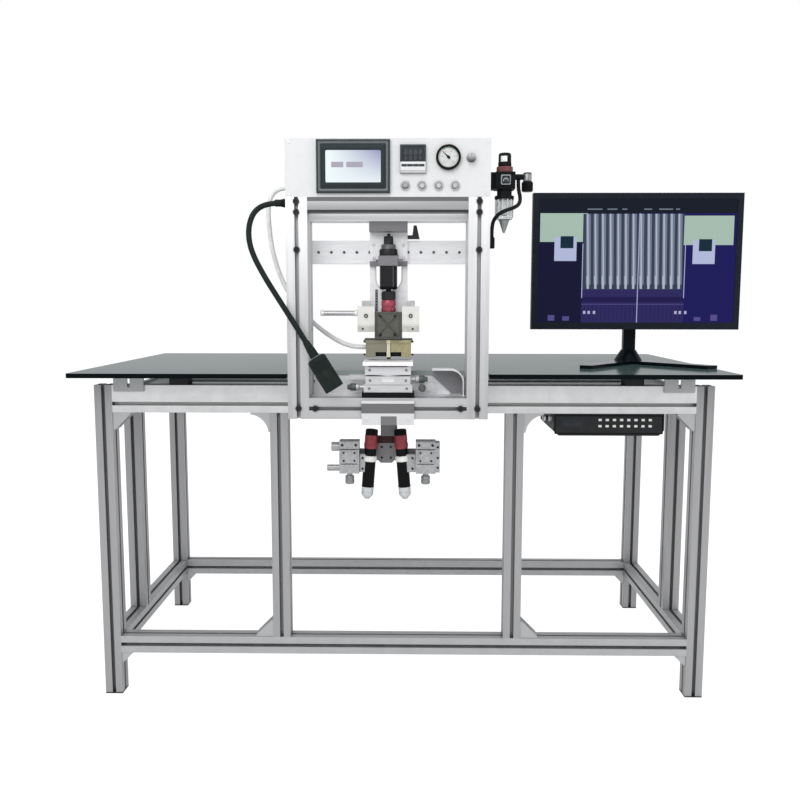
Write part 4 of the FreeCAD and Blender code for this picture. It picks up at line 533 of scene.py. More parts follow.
def make_materials():
    """Fills the table of finishes by name."""

    def metal(name, colour, rough, metallic=0.55, size=9, stretch=(1, 1, 1), share=0.045, edge=0.5,
              shade_reach=0):
        made = Finish(name, colour, rough, metallic, edge).mottle(size, share, stretch)
        # Painted shade darkens the slots and inside corners within this reach, in millimetres.
        if shade_reach:
            made.crevice_shade(shade_reach)
        return made.grain(0.6, 0.008, stretch, 0.25)

    def plastic(name, colour, rough, grain=0.35, edge=0.6, share=0.08):
        Finish(name, colour, rough, 0, edge).mottle(14, share).grain(grain, 0.02)

    # One anodised profile in different greys: the darker rails, legs and beams and the paler top
    # rail and uprights are painted light and shade of how each member is lit; all five get painted
    # shade in their slots.
    metal("anodised_rail", (0.46, 0.463, 0.468), 0.42, size=26, shade_reach=14)
    made = metal("anodised_top_rail", (0.87, 0.87, 0.87), 0.4, size=26, shade_reach=14)
    # Painted shade: the top rail darker towards its lower edge, paler at its lit top.
    made.fade("Z", 650, 705, 0.74, 1)
    made = metal("anodised_upright", (0.87, 0.87, 0.88), 0.4, size=14, stretch=(1, 1, 18), shade_reach=14)
    # Painted shade: the uprights darker towards the bottom, paler where lit from above.
    made.fade("Z", 665, 1129, 0.56, 1)
    metal("anodised_leg", (0.385, 0.385, 0.39), 0.43, size=14, stretch=(1, 1, 18), shade_reach=14)
    made = metal("anodised_beam", (0.70, 0.705, 0.71), 0.4, size=14, stretch=(18, 1, 1), shade_reach=14)
    # Painted shadow of the control box: a dark band along the front beam's top.
    made.band((0.13, 0.13, 0.135), ("Z", 1120.5, 1130))
    # Painted shade: near black below z 1103, the shade of the gap under the front beam.
    made.band((0.035, 0.035, 0.04), ("Z", 1080, 1103))
    # Painted light: the rear beam white, as bright as it is lit from below.
    made.band((0.95, 0.95, 0.955), ("Y", -69.9, 260), ("Z", 1080, 1130))
    # Painted shade: darker towards the bottom, so the lower beam is darker.
    made.fade("Z", 712, 1080, 0.74, 1)
    metal("cast_bracket", (0.48, 0.485, 0.49), 0.55, size=3)
    metal("machined", (0.82, 0.82, 0.835), 0.42, size=4, stretch=(9, 1, 1))
    metal("stage_metal", (0.60, 0.60, 0.61), 0.36, 0.4, size=4, stretch=(6, 1, 1))
    made = metal("work_plate_finish", (0.93, 0.925, 0.93), 0.4, 0.1, size=8)
    made.band((0.62, 0.62, 0.635), ("Z", 740, 779))
    # Painted shade: the grey of the slot cover on the front beam.
    metal("cover_shade_grey", (0.36, 0.365, 0.37), 0.4, 0.3, size=14, stretch=(18, 1, 1))
    metal("slide_grey", (0.40, 0.405, 0.41), 0.4, 0.5, size=6, share=0.12)
    metal("knob_grey", (0.26, 0.27, 0.27), 0.36, 0.5, size=6, share=0.1)
    metal("bright_metal", (0.50, 0.50, 0.51), 0.34, 0.6, size=6)
    # Painted reflection: the buttons and the selector darker in their lower parts.
    metal("button_metal", (0.40, 0.40, 0.405), 0.4, 0.4, size=6).fade("Z", 1146, 1155, 0.5, 1)
    metal("selector_metal", (0.46, 0.46, 0.465), 0.4, 0.4, size=6).fade("Z", 1200, 1211, 0.16, 1)
    metal("thimble_metal", (0.10, 0.115, 0.115), 0.36, 0.45, size=5)
    metal("dark_anodised", (0.115, 0.115, 0.12), 0.42, 0.4, size=5)
    metal("olive_block", (0.088, 0.088, 0.076), 0.5, 0.3, size=3, share=0.3)
    metal("red_anodised", (0.33, 0.055, 0.085), 0.33, 0.3, size=5)
    made = metal("hanger_grey", (0.20, 0.20, 0.205), 0.5, 0.25, size=12)
    plate = ("Y", -110, -97)
    made.band((0.66, 0.66, 0.67), plate)
    # Painted shadow of the platform: a dark band across the plate's face.
    made.band((0.15, 0.145, 0.15), plate, ("Z", 678, 699))
    made.band((0.17, 0.17, 0.175), plate, ("X", -46, -12), ("Z", 640, 672))
    metal("screw_black", (0.035, 0.035, 0.037), 0.38, 0.5, size=3, edge=0.3)
    plastic("matte_black", (0.007, 0.008, 0.009), 0.55)
    plastic("satin_black", (0.004, 0.004, 0.005), 0.35, grain=0.5)
    plastic("screen_frame", (0.011, 0.015, 0.022), 0.4, grain=0.5)
    plastic("gloss_black", (0.003, 0.006, 0.008), 0.12, grain=3, share=0.04)
    plastic("dark_bezel", (0.042, 0.053, 0.056), 0.42)
    plastic("unit_black", (0.024, 0.026, 0.027), 0.46, grain=0.5)
    plastic("rubber", (0.03, 0.03, 0.03), 0.7)
    plastic("red_plastic", (0.15, 0.035, 0.035), 0.45)
    plastic("key_grey", (0.42, 0.43, 0.44), 0.5, edge=0.2)
    plastic("hose_grey", (0.74, 0.75, 0.73), 0.48, grain=1.2)
    plastic("hose_black", (0.010, 0.010, 0.011), 0.3, grain=1.2)
    plastic("lamp_black", (0.013, 0.020, 0.018), 0.45, grain=0.6)
    plastic("white_paint", (0.68, 0.685, 0.69), 0.5, grain=0.8, share=0.02)
    plastic("wing_white", (0.70, 0.70, 0.67), 0.5, grain=0.8, share=0.03)
    plastic("dial_white", (0.62, 0.62, 0.61), 0.5, edge=0)
    plastic("window_dark", (0.03, 0.034, 0.04), 0.16, edge=0)
    glass_sheet()
    clear = Finish("clear_plastic", (0.86, 0.90, 0.92), 0.08, edge=0.4)
    clear.set("Transmission Weight", 0.85).set("IOR", 1.3).set("Alpha", 0.55)
    Finish("lens_glass", (0.05, 0.06, 0.09), 0.03, edge=0).set("Coat Weight", 1.0)
    cover = Finish("cover_glass", (0.95, 0.97, 0.98), 0.02, edge=0)
    cover.set("Transmission Weight", 1.0).set("Alpha", 0.12)
    made = metal("top_block_grey", (0.20, 0.20, 0.21), 0.42, 0.35, size=5)
    made.band((0.02, 0.02, 0.022), ("X", 10.5, 60), rough=0.4)
    made = metal("cylinder_finish", (0.19, 0.19, 0.20), 0.42, 0.35, size=5)
    made.band((0.014, 0.014, 0.016), ("Z", 900, 989.9), rough=0.14)
    made = metal("thermode_finish", (0.35, 0.32, 0.18), 0.42, 0.4, size=5, share=0.14)
    made.band((0.25, 0.235, 0.18), ("X", -90, -31))
    made.band((0.70, 0.66, 0.50), ("X", -35, -27))
    made.band((0.06, 0.055, 0.045), ("Z", 831, 840))
    made.band((0.014, 0.012, 0.008), ("Y", -49.5, -12), ("Z", 789, 812))
    glow_material("field_grey", (0.40, 0.38, 0.46))
    made = metal("guard_grey", (0.20, 0.20, 0.21), 0.5, 0.2, size=20)
    # Painted light: the guard paler to the left, darker to the right.
    made.fade("X", 64, 134, 1.5, 0.8)
    plastic("segment_grey", (0.075, 0.083, 0.09), 0.4, edge=0)
    # Painted highlight on the touch screen bezel's lip.
    plastic("bezel_line", (0.095, 0.11, 0.115), 0.42, edge=0)
    plastic("bezel_inner", (0.024, 0.033, 0.035), 0.42, edge=0)
    plastic("scale_green", (0.03, 0.36, 0.12), 0.5, edge=0)
    plastic("label_white", (0.78, 0.79, 0.78), 0.5, edge=0)
    plastic("lamp_ring", (0.16, 0.165, 0.17), 0.3, edge=0)
    plastic("ring_white", (0.76, 0.77, 0.74), 0.45, edge=0.3)
    plastic("band_grey", (0.50, 0.49, 0.46), 0.5, edge=0.2)
    plastic("line_grey", (0.20, 0.205, 0.21), 0.5, edge=0)
    plastic("band_brown", (0.055, 0.028, 0.026), 0.5, edge=0.3)
    metal("rod_grey", (0.45, 0.45, 0.46), 0.3, 0.5, size=4)
    metal("tail_silver", (0.58, 0.60, 0.61), 0.36, 0.5, size=9)
    metal("camera_red", (0.25, 0.032, 0.042), 0.36, 0.2, size=5, share=0.12)
    for name, colour in GLOWS.items():
        glow_material(name, colour)
    made = Finish("hmi_glow", (0.02, 0.02, 0.02), 0.3, edge=0).glow((1, 1, 1), 1)
    made.set("Specular IOR Level", SCREEN_SHINE)
    corner = made.both(made.spread(made.along("X"), 0, 1, mm(-150 - CENTRE_X), mm(-50 - CENTRE_X)),
                       made.spread(made.along("Z"), 0.15, 1, mm(1160), mm(1222)))
    made.link(made.mix(corner, (0.84, 0.93, 0.95), (0.31, 0.32, 0.52)), "Emission Color")
    Finish("led_white", (0.85, 0.85, 0.8), 0.3, edge=0).glow((1, 0.98, 0.92), 0.35)


# The nodes that take each finish
NODE_FINISH = {
    "anodised_leg": "corner_legs mid_legs",
    "anodised_top_rail": "front_top_rail",
    "anodised_rail": "frame_rails",
    "rubber": "leg_end_caps glass_pads",
    "cast_bracket": "frame_brackets",
    "tinted_glass": "glass_top",
    "machined": "base_plate head_cross_bar head_back_plate",
    "anodised_upright": "gantry_uprights",
    "anodised_beam": "gantry_beams",
    "screw_black": "frame_bolts cylinder_rod",
    "white_paint": "control_box control_panel",
    "dark_bezel": "hmi_bezel temp_controller",
    "satin_black": "gauge_case valve_grip left_camera right_camera",
    "matte_black": "gauge_needle cable_glands air_unit_body air_unit_knob platform_plinth",
    "selector_metal": "selector_knob",
    "bright_metal": "button_bezels push_button_2 push_button_3 push_button_4",
    "button_metal": "push_button_1",
    "clear_plastic": "air_unit_bowl",
    "top_block_grey": "head_top_block",
    "cylinder_finish": "air_cylinder",
    "dark_anodised": "stroke_knob",
    "olive_block": "head_carriage",
    "red_anodised": "pressure_adjuster",
    "wing_white": "head_wings",
    "rod_grey": "tape_roller",
    "thermode_finish": "thermode",
    "stage_metal": "platform_x_slide platform_y_slide",
    "work_plate_finish": "work_plate",
    "thimble_metal": "x_thimble y_thimble theta_thimble left_focus_thimble right_focus_thimble",
    "hanger_grey": "camera_hanger",
    "slide_grey": "left_camera_slide right_camera_slide",
    "screen_frame": "monitor_panel",
    "gloss_black": "monitor_stand",
    "unit_black": "controller_box",
    "lamp_black": "work_lamp",
}


def dress_nodes():
    for name, nodes in NODE_FINISH.items():
        for node in nodes.split():
            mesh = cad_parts[node].data
            mesh.materials.clear()
            mesh.materials.append(MATERIALS[name])


# Hoses: the same route points as the solids they stand for
CABLE_ROUTE = [(-255.5, 30, 1164), (-272, 30, 1164), (-288.5, 30, 1154.5), (-298, 30, 1138),
               (-301, 30, 1112), (-299, 30, 1078), (-295, 30, 1040), (-286, 30, 1000),
               (-271, 30, 958), (-249, 30, 919), (-221, 26, 885), (-192, 17, 858),
               (-163, 1, 838), (-135, -17, 823.5), (-106, -30, 815), (-80, -30, 815)]
TUBE_ROUTE = [(243, -60, 1168.5), (243, -60, 1150), (247, -67, 1132), (244, -79, 1117),
              (232, -89, 1108), (215, -90, 1103), (200, -83, 1096), (190.5, -71, 1084),
              (188.3, -62, 1068), (188.3, -62, 1050)]
LAMP_ROUTE = [(-255.5, -78, 1119), (-280, -78, 1119), (-306, -90, 1106), (-319, -97, 1080),
              (-321, -104, 1047), (-312, -110, 1012), (-286, -117, 964), (-252, -122, 911),
              (-222, -124, 864), (-200, -124, 828)]
CABLE_WIDE, CABLE_LONG = mm(10), mm(499.9)
TUBE_WIDE, TUBE_LONG = mm(8), mm(164.5)


def thermode_cable():
    """The heater's cable between the gantry and the head."""
    points = [spot(*point) for point in CABLE_ROUTE]
    places = resampled(line_points(points, 24), mm(2.5))
    shape = bmesh.new()
    hose(shape, places, lambda i: CABLE_WIDE / 2)
    mesh = bpy.data.meshes.new("heater_cable")
    shape.to_mesh(mesh)
    shape.free()
    mesh.materials.append(MATERIALS["hose_grey"])
    mesh.polygons.foreach_set("use_smooth", [True] * len(mesh.polygons))
    item = placed("heater_cable", mesh)
    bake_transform(item)
    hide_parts("thermode_cable")


def air_hose():
    points = [spot(*point) for point in TUBE_ROUTE]
    data = route_line(points, 16)
    data.bevel_depth = TUBE_WIDE / 2
    data.bevel_resolution = 6
    data.use_fill_caps = True
    data.materials.append(MATERIALS["hose_black"])
    item = placed("air_hose", data)
    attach(item, "frame")
    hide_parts("air_tube")


# The press head's axis, and the front faces that small parts sit on, in millimetres from the
# middle of the table's front
HEAD_X, STEM_Y = -31, -44.1
PANEL_Y, UNIT_Y, BAR_Y, PLATE_Y, HANGER_Y = -100, -106, -10, -20, -106
WING_Y, STAGE_Y, SLIDE_Y, CARRIER_Y = -57.3, -91.5, -47, -12.7


# Control panel
def screen_of_hmi():
    """The touch screen: a stepped frame round a lit picture with two plain grey fields."""
    centre = spot(-102, UNIT_Y - 1, 1190)

    def frame_build(shape):
        rim(shape, centre, [(75.6, 53.6, 0.05), (74.8, 52.8, 0.9), (71.5, 49.5, 0.9)])
        # The lip's paler grey is a painted highlight.
        rim(shape, centre, [(71.5, 49.5, 0.9), (69, 47, 0.9), (67.6, 45.6, 0.05)], 1)
        rim(shape, centre, [(67.4, 45.2, 0.05), (64.5, 41, 0.3), (63.5, 39.5, 1.1), (59.5, 35, 1.1),
                            (57, 32.5, 0.4), (56.9, 32.4, -1.65)], 2)

    def picture_build(shape):
        rim(shape, centre, [(57, 32.5, -1.7)], close=True)

    def fields_build(shape):
        for left, right in ((-45, -20), (-14, 20)):
            slab(shape, centre + local(left, 1.4, -2),
                 centre + local(right, 1.6, 9), mm(0.05))

    piece("hmi_frame", frame_build, "dark_bezel bezel_line bezel_inner", "frame")
    piece("hmi_picture", picture_build, "hmi_glow", "frame")
    piece("hmi_fields", fields_build, "field_grey", "frame")


def face_of_temp_controller():
    """The temperature unit's dark display with unlit digits, and its pale key strip."""
    x, y = 21, UNIT_Y

    def build(shape):
        window = spot(x, y, 1215.2)
        rim(shape, window, [(25.2, 16.4, 0.02), (24.7, 15.9, 0.7), (23, 14.5, 0.7),
                            (22.4, 13.9, -0.6)])
        rim(shape, window, [(22.4, 13.9, -0.6)], 1, True)
        front(shape, x - 26, x + 26, 1177, 1199, y, 0.7, 2, 0.3)
        for i in range(4):
            front(shape, x - 23.7 + 12 * i, x - 12.3 + 12 * i, 1189.3, 1194.3, y - 0.7, 0.5, 0, 0.2)
        front(shape, x - 25, x + 25, 1179, 1182, y - 0.7, 0.25, 3, 0.1)
        for row, high_z in enumerate((1222.5, 1209.5)):
            tall = 8.5 - 2 * row
            for i in range(4):
                seven_segments(shape, x - 15 + 10 * i, high_z - tall / 2, tall / 2, tall,
                               y + 0.45, 4)

    piece("temp_controller_face", build,
          "dark_bezel window_dark white_paint key_grey segment_grey",
          "frame")


def seven_segments(shape, x, z, wide, tall, y, mat):
    """The seven bars of one digit, about its centre."""
    line = tall * 0.12
    for level in (0, tall / 2, -tall / 2):
        front(shape, x - wide / 2 + line / 2, x + wide / 2 - line / 2, z + level - line / 2,
              z + level + line / 2, y, 0.06, mat, 0)
    for side in (-wide / 2, wide / 2):
        for low_end, top_end in ((-tall / 2 + line, -line / 2), (line / 2, tall / 2 - line)):
            front(shape, x + side - line / 2, x + side + line / 2, z + low_end, z + top_end, y,
                  0.06, mat, 0)


def dial_of_gauge():
    """The pressure gauge: white dial, ticks, plain numbers, a green arc and its glass."""
    centre = spot(93.7, UNIT_Y, 1208)

    def build(shape):
        lathe(shape, [(21.4, 0.02), (21.4, 0.08), (0, 0.08)], centre, AHEAD, 64, 0)
        lathe(shape, [(21.5, 0.1), (21.5, 3.2), (20.6, 3.2), (20.6, 0.1)], centre, AHEAD, 64, 3)
        for i in range(51):
            turn = math.radians(135 - 270 * i / 50)
            long = 3.2 if i % 10 == 0 else (2.2 if i % 5 == 0 else 1.4)
            wide = 0.55 if i % 10 == 0 else 0.25
            about = Matrix.Translation(centre) @ Matrix.Rotation(-turn, 4, "Y")
            slab(shape, local(-wide / 2, -0.16, 18.6 - long), local(wide / 2, -0.05, 18.6),
                 0, 1, about)
        for i in range(6):
            turn = math.radians(-135 + 54 * i)
            where = centre + local(12.4 * math.sin(turn), -0.15, 12.4 * math.cos(turn))
            figure(shape, str(2 * i), 3.6, where, 1)
        arc_strip(shape, centre, 19.2, 20.2, -40, 75, 0.14, 2)

    def glass_build(shape):
        lathe(shape, [(0, 3.3), (21.3, 3.2), (21.3, 3.6), (0, 3.8)], centre, AHEAD, 48, 0)

    piece("gauge_dial", build, "dial_white matte_black scale_green satin_black",
          "frame")
    piece("gauge_glass", glass_build, "cover_glass", "frame")


def arc_strip(shape, centre, inner, outer, begin, end, proud, mat, steps=24):
    """A flat arc that faces the front, between two angles from straight up, in degrees."""
    rows = []
    for i in range(steps + 1):
        turn = math.radians(begin + (end - begin) * i / steps)
        rows.append([shape.verts.new(centre + local(radius * math.sin(turn), -proud,
                                                    radius * math.cos(turn)))
                     for radius in (inner, outer)])
    for (a, b), (c, d) in zip(rows, rows[1:]):
        shape.faces.new((a, b, d, c)).material_index = mat


def knobs_of_panel():
    """Selector knob with its knurl and mark, and the dished caps of the four buttons."""

    def knob_build(shape):
        lathe(shape, [(5, -2.8), (5, 0.3), (10, 0.3), (10, 1.5), (9.2, 2.2), (9.2, 11.2),
                      (8.6, 12.6), (7.4, 13.6), (0, 13.9)], spot(141, PANEL_Y, 1208), AHEAD, 48, 0,
              teeth={4: (36, 0.45)})
        front(shape, 140.6, 141.4, 1209.5, 1215, PANEL_Y - 13.6, 0.35, 1, 0.1)

    piece("selector_cap", knob_build, "selector_metal matte_black", "selector",
          ("selector_knob",))
    for i in range(4):
        at = spot(5.5 + 34.3 * i, PANEL_Y, 1151.5)

        def cap_build(shape):
            lathe(shape, [(6.9, 0), (6.9, 5.8), (6.3, 6.5), (5.6, 6.5), (4.6, 6.15), (0, 5.9)], at,
                  AHEAD, 40, 0)
            lathe(shape, [(4.9, 6.25), (4.9, 6.6), (4.5, 6.6), (4.5, 6.2)], at, AHEAD, 40, 1)

        piece("button_cap_%d" % (i + 1), cap_build, "button_metal lamp_ring",
              "button_%d" % (i + 1))


def small_fasteners():
    """Screws on the panel, the cross bar, the back plate, the hanger and the fixed plates."""

    def build(shape):
        for i in range(14):
            at = spot(-213 + 28 * i, BAR_Y + 0.3, 1021)
            lathe(shape, [(2.9, 0), (2.9, 2.2), (1.6, 2.2)], at, AHEAD, 18)
            lathe(shape, [(1.6, 2.2), (1.5, 0.6), (0, 0.5)], at, AHEAD, 6)
        screw(shape, spot(HEAD_X, PLATE_Y, 1057), AHEAD, 7, 3)
        screws(shape, (-230, -200, 138, 168), BAR_Y, (738,), 8, 3.5)
        screws(shape, (-233, 171), BAR_Y, (1005, 1037), 7, 3)
        for x in (-14, 18):
            for y in (-14, 18):
                screw(shape, spot(HEAD_X + x, STEM_Y + y, 1011), (0, 0, 1), 5, 3)

    def pale_build(shape):
        screws(shape, (-64, 2), PLATE_Y, (1008, 1036), 7, 2.4)
        screws(shape, (-77, 15), HANGER_Y, (666,), 7, 2.4)
        screws(shape, (-236, 174), PANEL_Y, (1136, 1240), 6.5, 1.4)
        for side, x in ((-1, -243.5), (1, 181.5)):
            for y in (-60, 60, 180):
                screw(shape, spot(x, y, 1237), (side, 0, 0), 6.5, 1.4)
                screw(shape, spot(x, y + 15, 1139), (side, 0, 0), 6.5, 1.4)

    def cover_build(shape):
        # A cover in the front beam's slot; its mid grey is painted shade, the beam face lying in
        # the control box's shadow.
        front(shape, -198.4, 136.4, 1103, 1120.5, PANEL_Y, 0.4, 0, 0.15)

    piece("frame_screws", build, "screw_black", "frame")
    piece("slot_cover", cover_build, "cover_shade_grey", "frame")
    piece("cover_screws", pale_build, "machined", "frame")


def back_of_box():
    """Vents, mains inlet, fuse holder and screws on the control box's rear wall."""
    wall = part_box("control_box")[1].y
    matrix = Matrix.Translation((0, wall, 0))

    def build(shape):
        for i in range(12):
            for left, right in ((-0.235, -0.195), (-0.185, -0.145)):
                slab(shape, (left, -0.0005, 1.155 + 0.0062 * i),
                     (right, 0.0004, 1.158 + 0.0062 * i), 0.0002, 0, matrix)
        slab(shape, (0.02, -0.0005, 1.158), (0.07, 0.0022, 1.186), 0.0012, 1, matrix)
        slab(shape, (0.027, 0.0016, 1.163), (0.063, 0.0024, 1.181), 0.0003, 0, matrix)
        for left in (0.036, 0.0445, 0.053):
            slab(shape, (left, 0.0016, 1.170), (left + 0.002, 0.0034, 1.176), 0.0002, 2, matrix)
        lathe(shape, [(6.5, 0), (6.5, 1.5), (5.6, 2.4), (5.6, 7), (4.9, 8), (0, 8.2)],
              Vector((0.092, wall, 1.172)), (0, 1, 0), 32, 1, teeth={2: (24, 0.3)})
        for x in (-0.285, 0.125):
            for z in (1.14, 1.236):
                screw(shape, Vector((x, wall, z)), (0, 1, 0), 6.5, 1.4, 2)
        slab(shape, (-0.292, -0.0005, 1.1335), (0.1325, 0.0003, 1.1345), 0, 1, matrix)

    piece("box_back_fittings", build, "matte_black unit_black bright_metal", "frame")


# Air unit
def air_unit():
    x, y = 214, -60

    def fixed_build(shape):
        lathe(shape, [(16.4, 0), (17.1, 0.7), (17.1, 11), (16.4, 11.7)], spot(x, y, 1183.2),
              steps=48, teeth={1: (44, 0.5)})
        rim(shape, spot(x, -86.5, 1165.5), [(10.2, 10.2, -1), (10.2, 10.2, 0.7), (8.6, 8.6, 0.9),
                                            (8, 8, 0.2)], mats=1)
        rim(shape, spot(x, -86.5, 1165.5), [(8, 8, 0.2)], mats=2, close=True)
        arc_strip(shape, spot(x, -86.5, 1164), 4.4, 5.2, -110, 110, 0.35, 3)
        front(shape, x - 0.25, x + 0.25, 1164, 1169, -86.7, 0.2, 3, 0)
        lathe(shape, [(8.8, 0.2), (8.8, 14), (7.6, 16), (7.6, 17.2)], spot(262, y, 1166), steps=40,
              mats=4)
        screws(shape, (x - 16, x + 16), y - 20.5, (1152, 1179), 4.5, 1.6, 5)
        lathe(shape, [(19.6, -3), (20.4, -2), (20.4, 3), (19.6, 4)], spot(x, y, 1131),
              mats=5, teeth={1: (30, 0.6)})
        lathe(shape, [(16.5, -1), (11, -2.2), (2.4, -27.6), (0, -28)], spot(x, y, 1087), steps=36,
              mats=4)
        lathe(shape, [(6, 4), (9, 5), (9, 34), (6, 35)], spot(x, y, 1091), steps=24, mats=6)
        for i in range(12):
            turn = (Matrix.Translation(spot(x, y, 0))
                    @ Matrix.Rotation(math.radians(30 * i + 15), 4, "Z"))
            slab(shape, local(18.6, -0.7, 1092), local(19.7, 0.7, 1127), mm(0.3), 6, turn)

    piece("air_unit_details", fixed_build,
          "red_plastic knob_grey window_dark dial_white knob_grey matte_black wing_white", "frame")

    def knob_build(shape):
        at = spot(x, y, 1195)
        lathe(shape, [(12, 0.3), (14, 2.6), (14, 8.6), (13.2, 9.4), (13.2, 24), (12.4, 26.4),
                      (11, 28), (0, 28)], at, teeth={1: (28, 0.7)})
        curved_label(shape, at, 13.45, 9.6, 21, 30, 1, -104)

    piece("air_knob_cap", knob_build, "matte_black label_white", "air_knob",
          ("air_unit_knob",))

    def grip_build(shape):
        lathe(shape, [(9, -0.3), (12, -3.6), (12, -19.6), (10.4, -21.8), (0, -22)],
              spot(262, y, 1166), teeth={1: (22, 0.9)})

    piece("valve_cap", grip_build, "satin_black", "valve", ("valve_grip",))


def curved_label(shape, at, radius, low_z, top_z, reach, mat, aim=-90, steps=14):
    """A blank label wrapped round a knob; aim is the direction its middle faces, in degrees."""
    rows = []
    for i in range(steps + 1):
        turn = math.radians(aim - reach + 2 * reach * i / steps)
        out = Vector((math.cos(turn), math.sin(turn), 0)) * mm(radius)
        rows.append([shape.verts.new(at + out + local(0, 0, z)) for z in (low_z, top_z)])
    for (a, b), (c, d) in zip(rows, rows[1:]):
        shape.faces.new((a, c, d, b)).material_index = mat


# Work lamp
def work_lamp():
    points = [spot(*point) for point in LAMP_ROUTE]
    places = resampled(line_points(points, 24), mm(1.6))
    aim = (points[-1] - points[-2]).normalized()

    def build(shape):
        hose(shape, places, lambda i: mm(6 - 0.4 * (i % 2)), 0, 16)
        lathe(shape, [(6.9, 0), (7.4, 1), (7.4, 11), (6.6, 13)], points[0], (-1, 0, 0), 32, 0,
              teeth={1: (24, 0.4)})
        lathe(shape, [(6.6, -3), (7.2, 0), (8.2, 12), (8.2, 13.5), (9, 14), (10, 34)], points[-1],
              aim, 40, 0)
        shade = [(10, 35), (17, 36), (19.6, 38.5), (21, 42)]
        for z in range(44, 69, 5):
            shade += [(21, z), (21, z + 3), (20, z + 3.6), (20, z + 4.4)]
        shade += [(21, 70), (21, 110.6), (20.4, 112), (19.2, 112), (19, 108.4)]
        lathe(shape, shade, points[-1], aim, 56)
        lathe(shape, [(0, 107.8), (18.6, 108.2), (18.6, 108.6), (0, 109.2)], points[-1], aim, 48, 1)

    piece("work_lamp_arm", build, "lamp_black led_white", "frame",
          ("work_lamp",))


# Press head
def head_fixed():
    """Rim of the back plate's window, the dotted guide, the barrel's end and the guard's face."""

    def build(shape):
        low_z, radius = 965.5, 27.6
        outline = [(radius + 3, 37.5)]
        turns = [math.radians(180 * i / 24) for i in range(25)]
        outline += [((radius + 3) * math.cos(t), -(radius + 3) * math.sin(t)) for t in turns]
        outline += [(-radius - 3, 37.5), (-radius, 37.5)]
        outline += [(radius * math.cos(t), -radius * math.sin(t)) for t in reversed(turns)]
        outline += [(radius, 37.5)]
        prism(shape, outline, spot(HEAD_X, PLATE_Y, low_z), AHEAD, 1.2, 0)
        slab(shape, spot(-60.4, PLATE_Y - 3.4, 870), spot(-55.6, PLATE_Y, 940), mm(0.4), 1)
        for i in range(11):
            lathe(shape, [(1.3, 0), (1.3, 0.5), (0, 0.6)], spot(-58, PLATE_Y - 3.4, 875 + 6 * i),
                  AHEAD, 14, 2)

        lathe(shape, [(19.1, 946), (19.1, 943.6), (18.5, 941.6), (17.5, 940.2), (16.3, 939.6),
                      (16.3, 944)], spot(HEAD_X, STEM_Y, 0), mats=3)
        outline = [(64, 765), (104, 765)]
        for turn in (math.radians(15 * i) for i in range(1, 7)):
            outline.append((104 + 27 * math.sin(turn), 738 + 27 * math.cos(turn)))
        outline += [(131, 712), (108, 712), (64, 752)]
        prism(shape, outline, spot(0, -15, 0), AHEAD, 1, 4)

    piece("back_plate_trim", build,
          "wing_white screw_black key_grey satin_black guard_grey", "frame")

    def knob_build(shape):
        lathe(shape, [(19, 0.3), (19.5, 1), (19.5, 12.8), (18.6, 14), (16, 14.8), (15.5, 16.2),
                      (15.5, 23.2), (14.4, 24.4), (10.6, 25.4), (10, 27), (10, 40.4), (8.8, 41.8),
                      (0, 42)], spot(HEAD_X, STEM_Y, 1011),
              mats=[0] * 4 + [1] * 4 + [0] * 4, teeth={1: (44, 0.7), 9: (26, 0.5)})

    piece("stroke_knob_cap", knob_build, "screw_black dark_anodised", "stroke_stop",
          ("stroke_knob",))


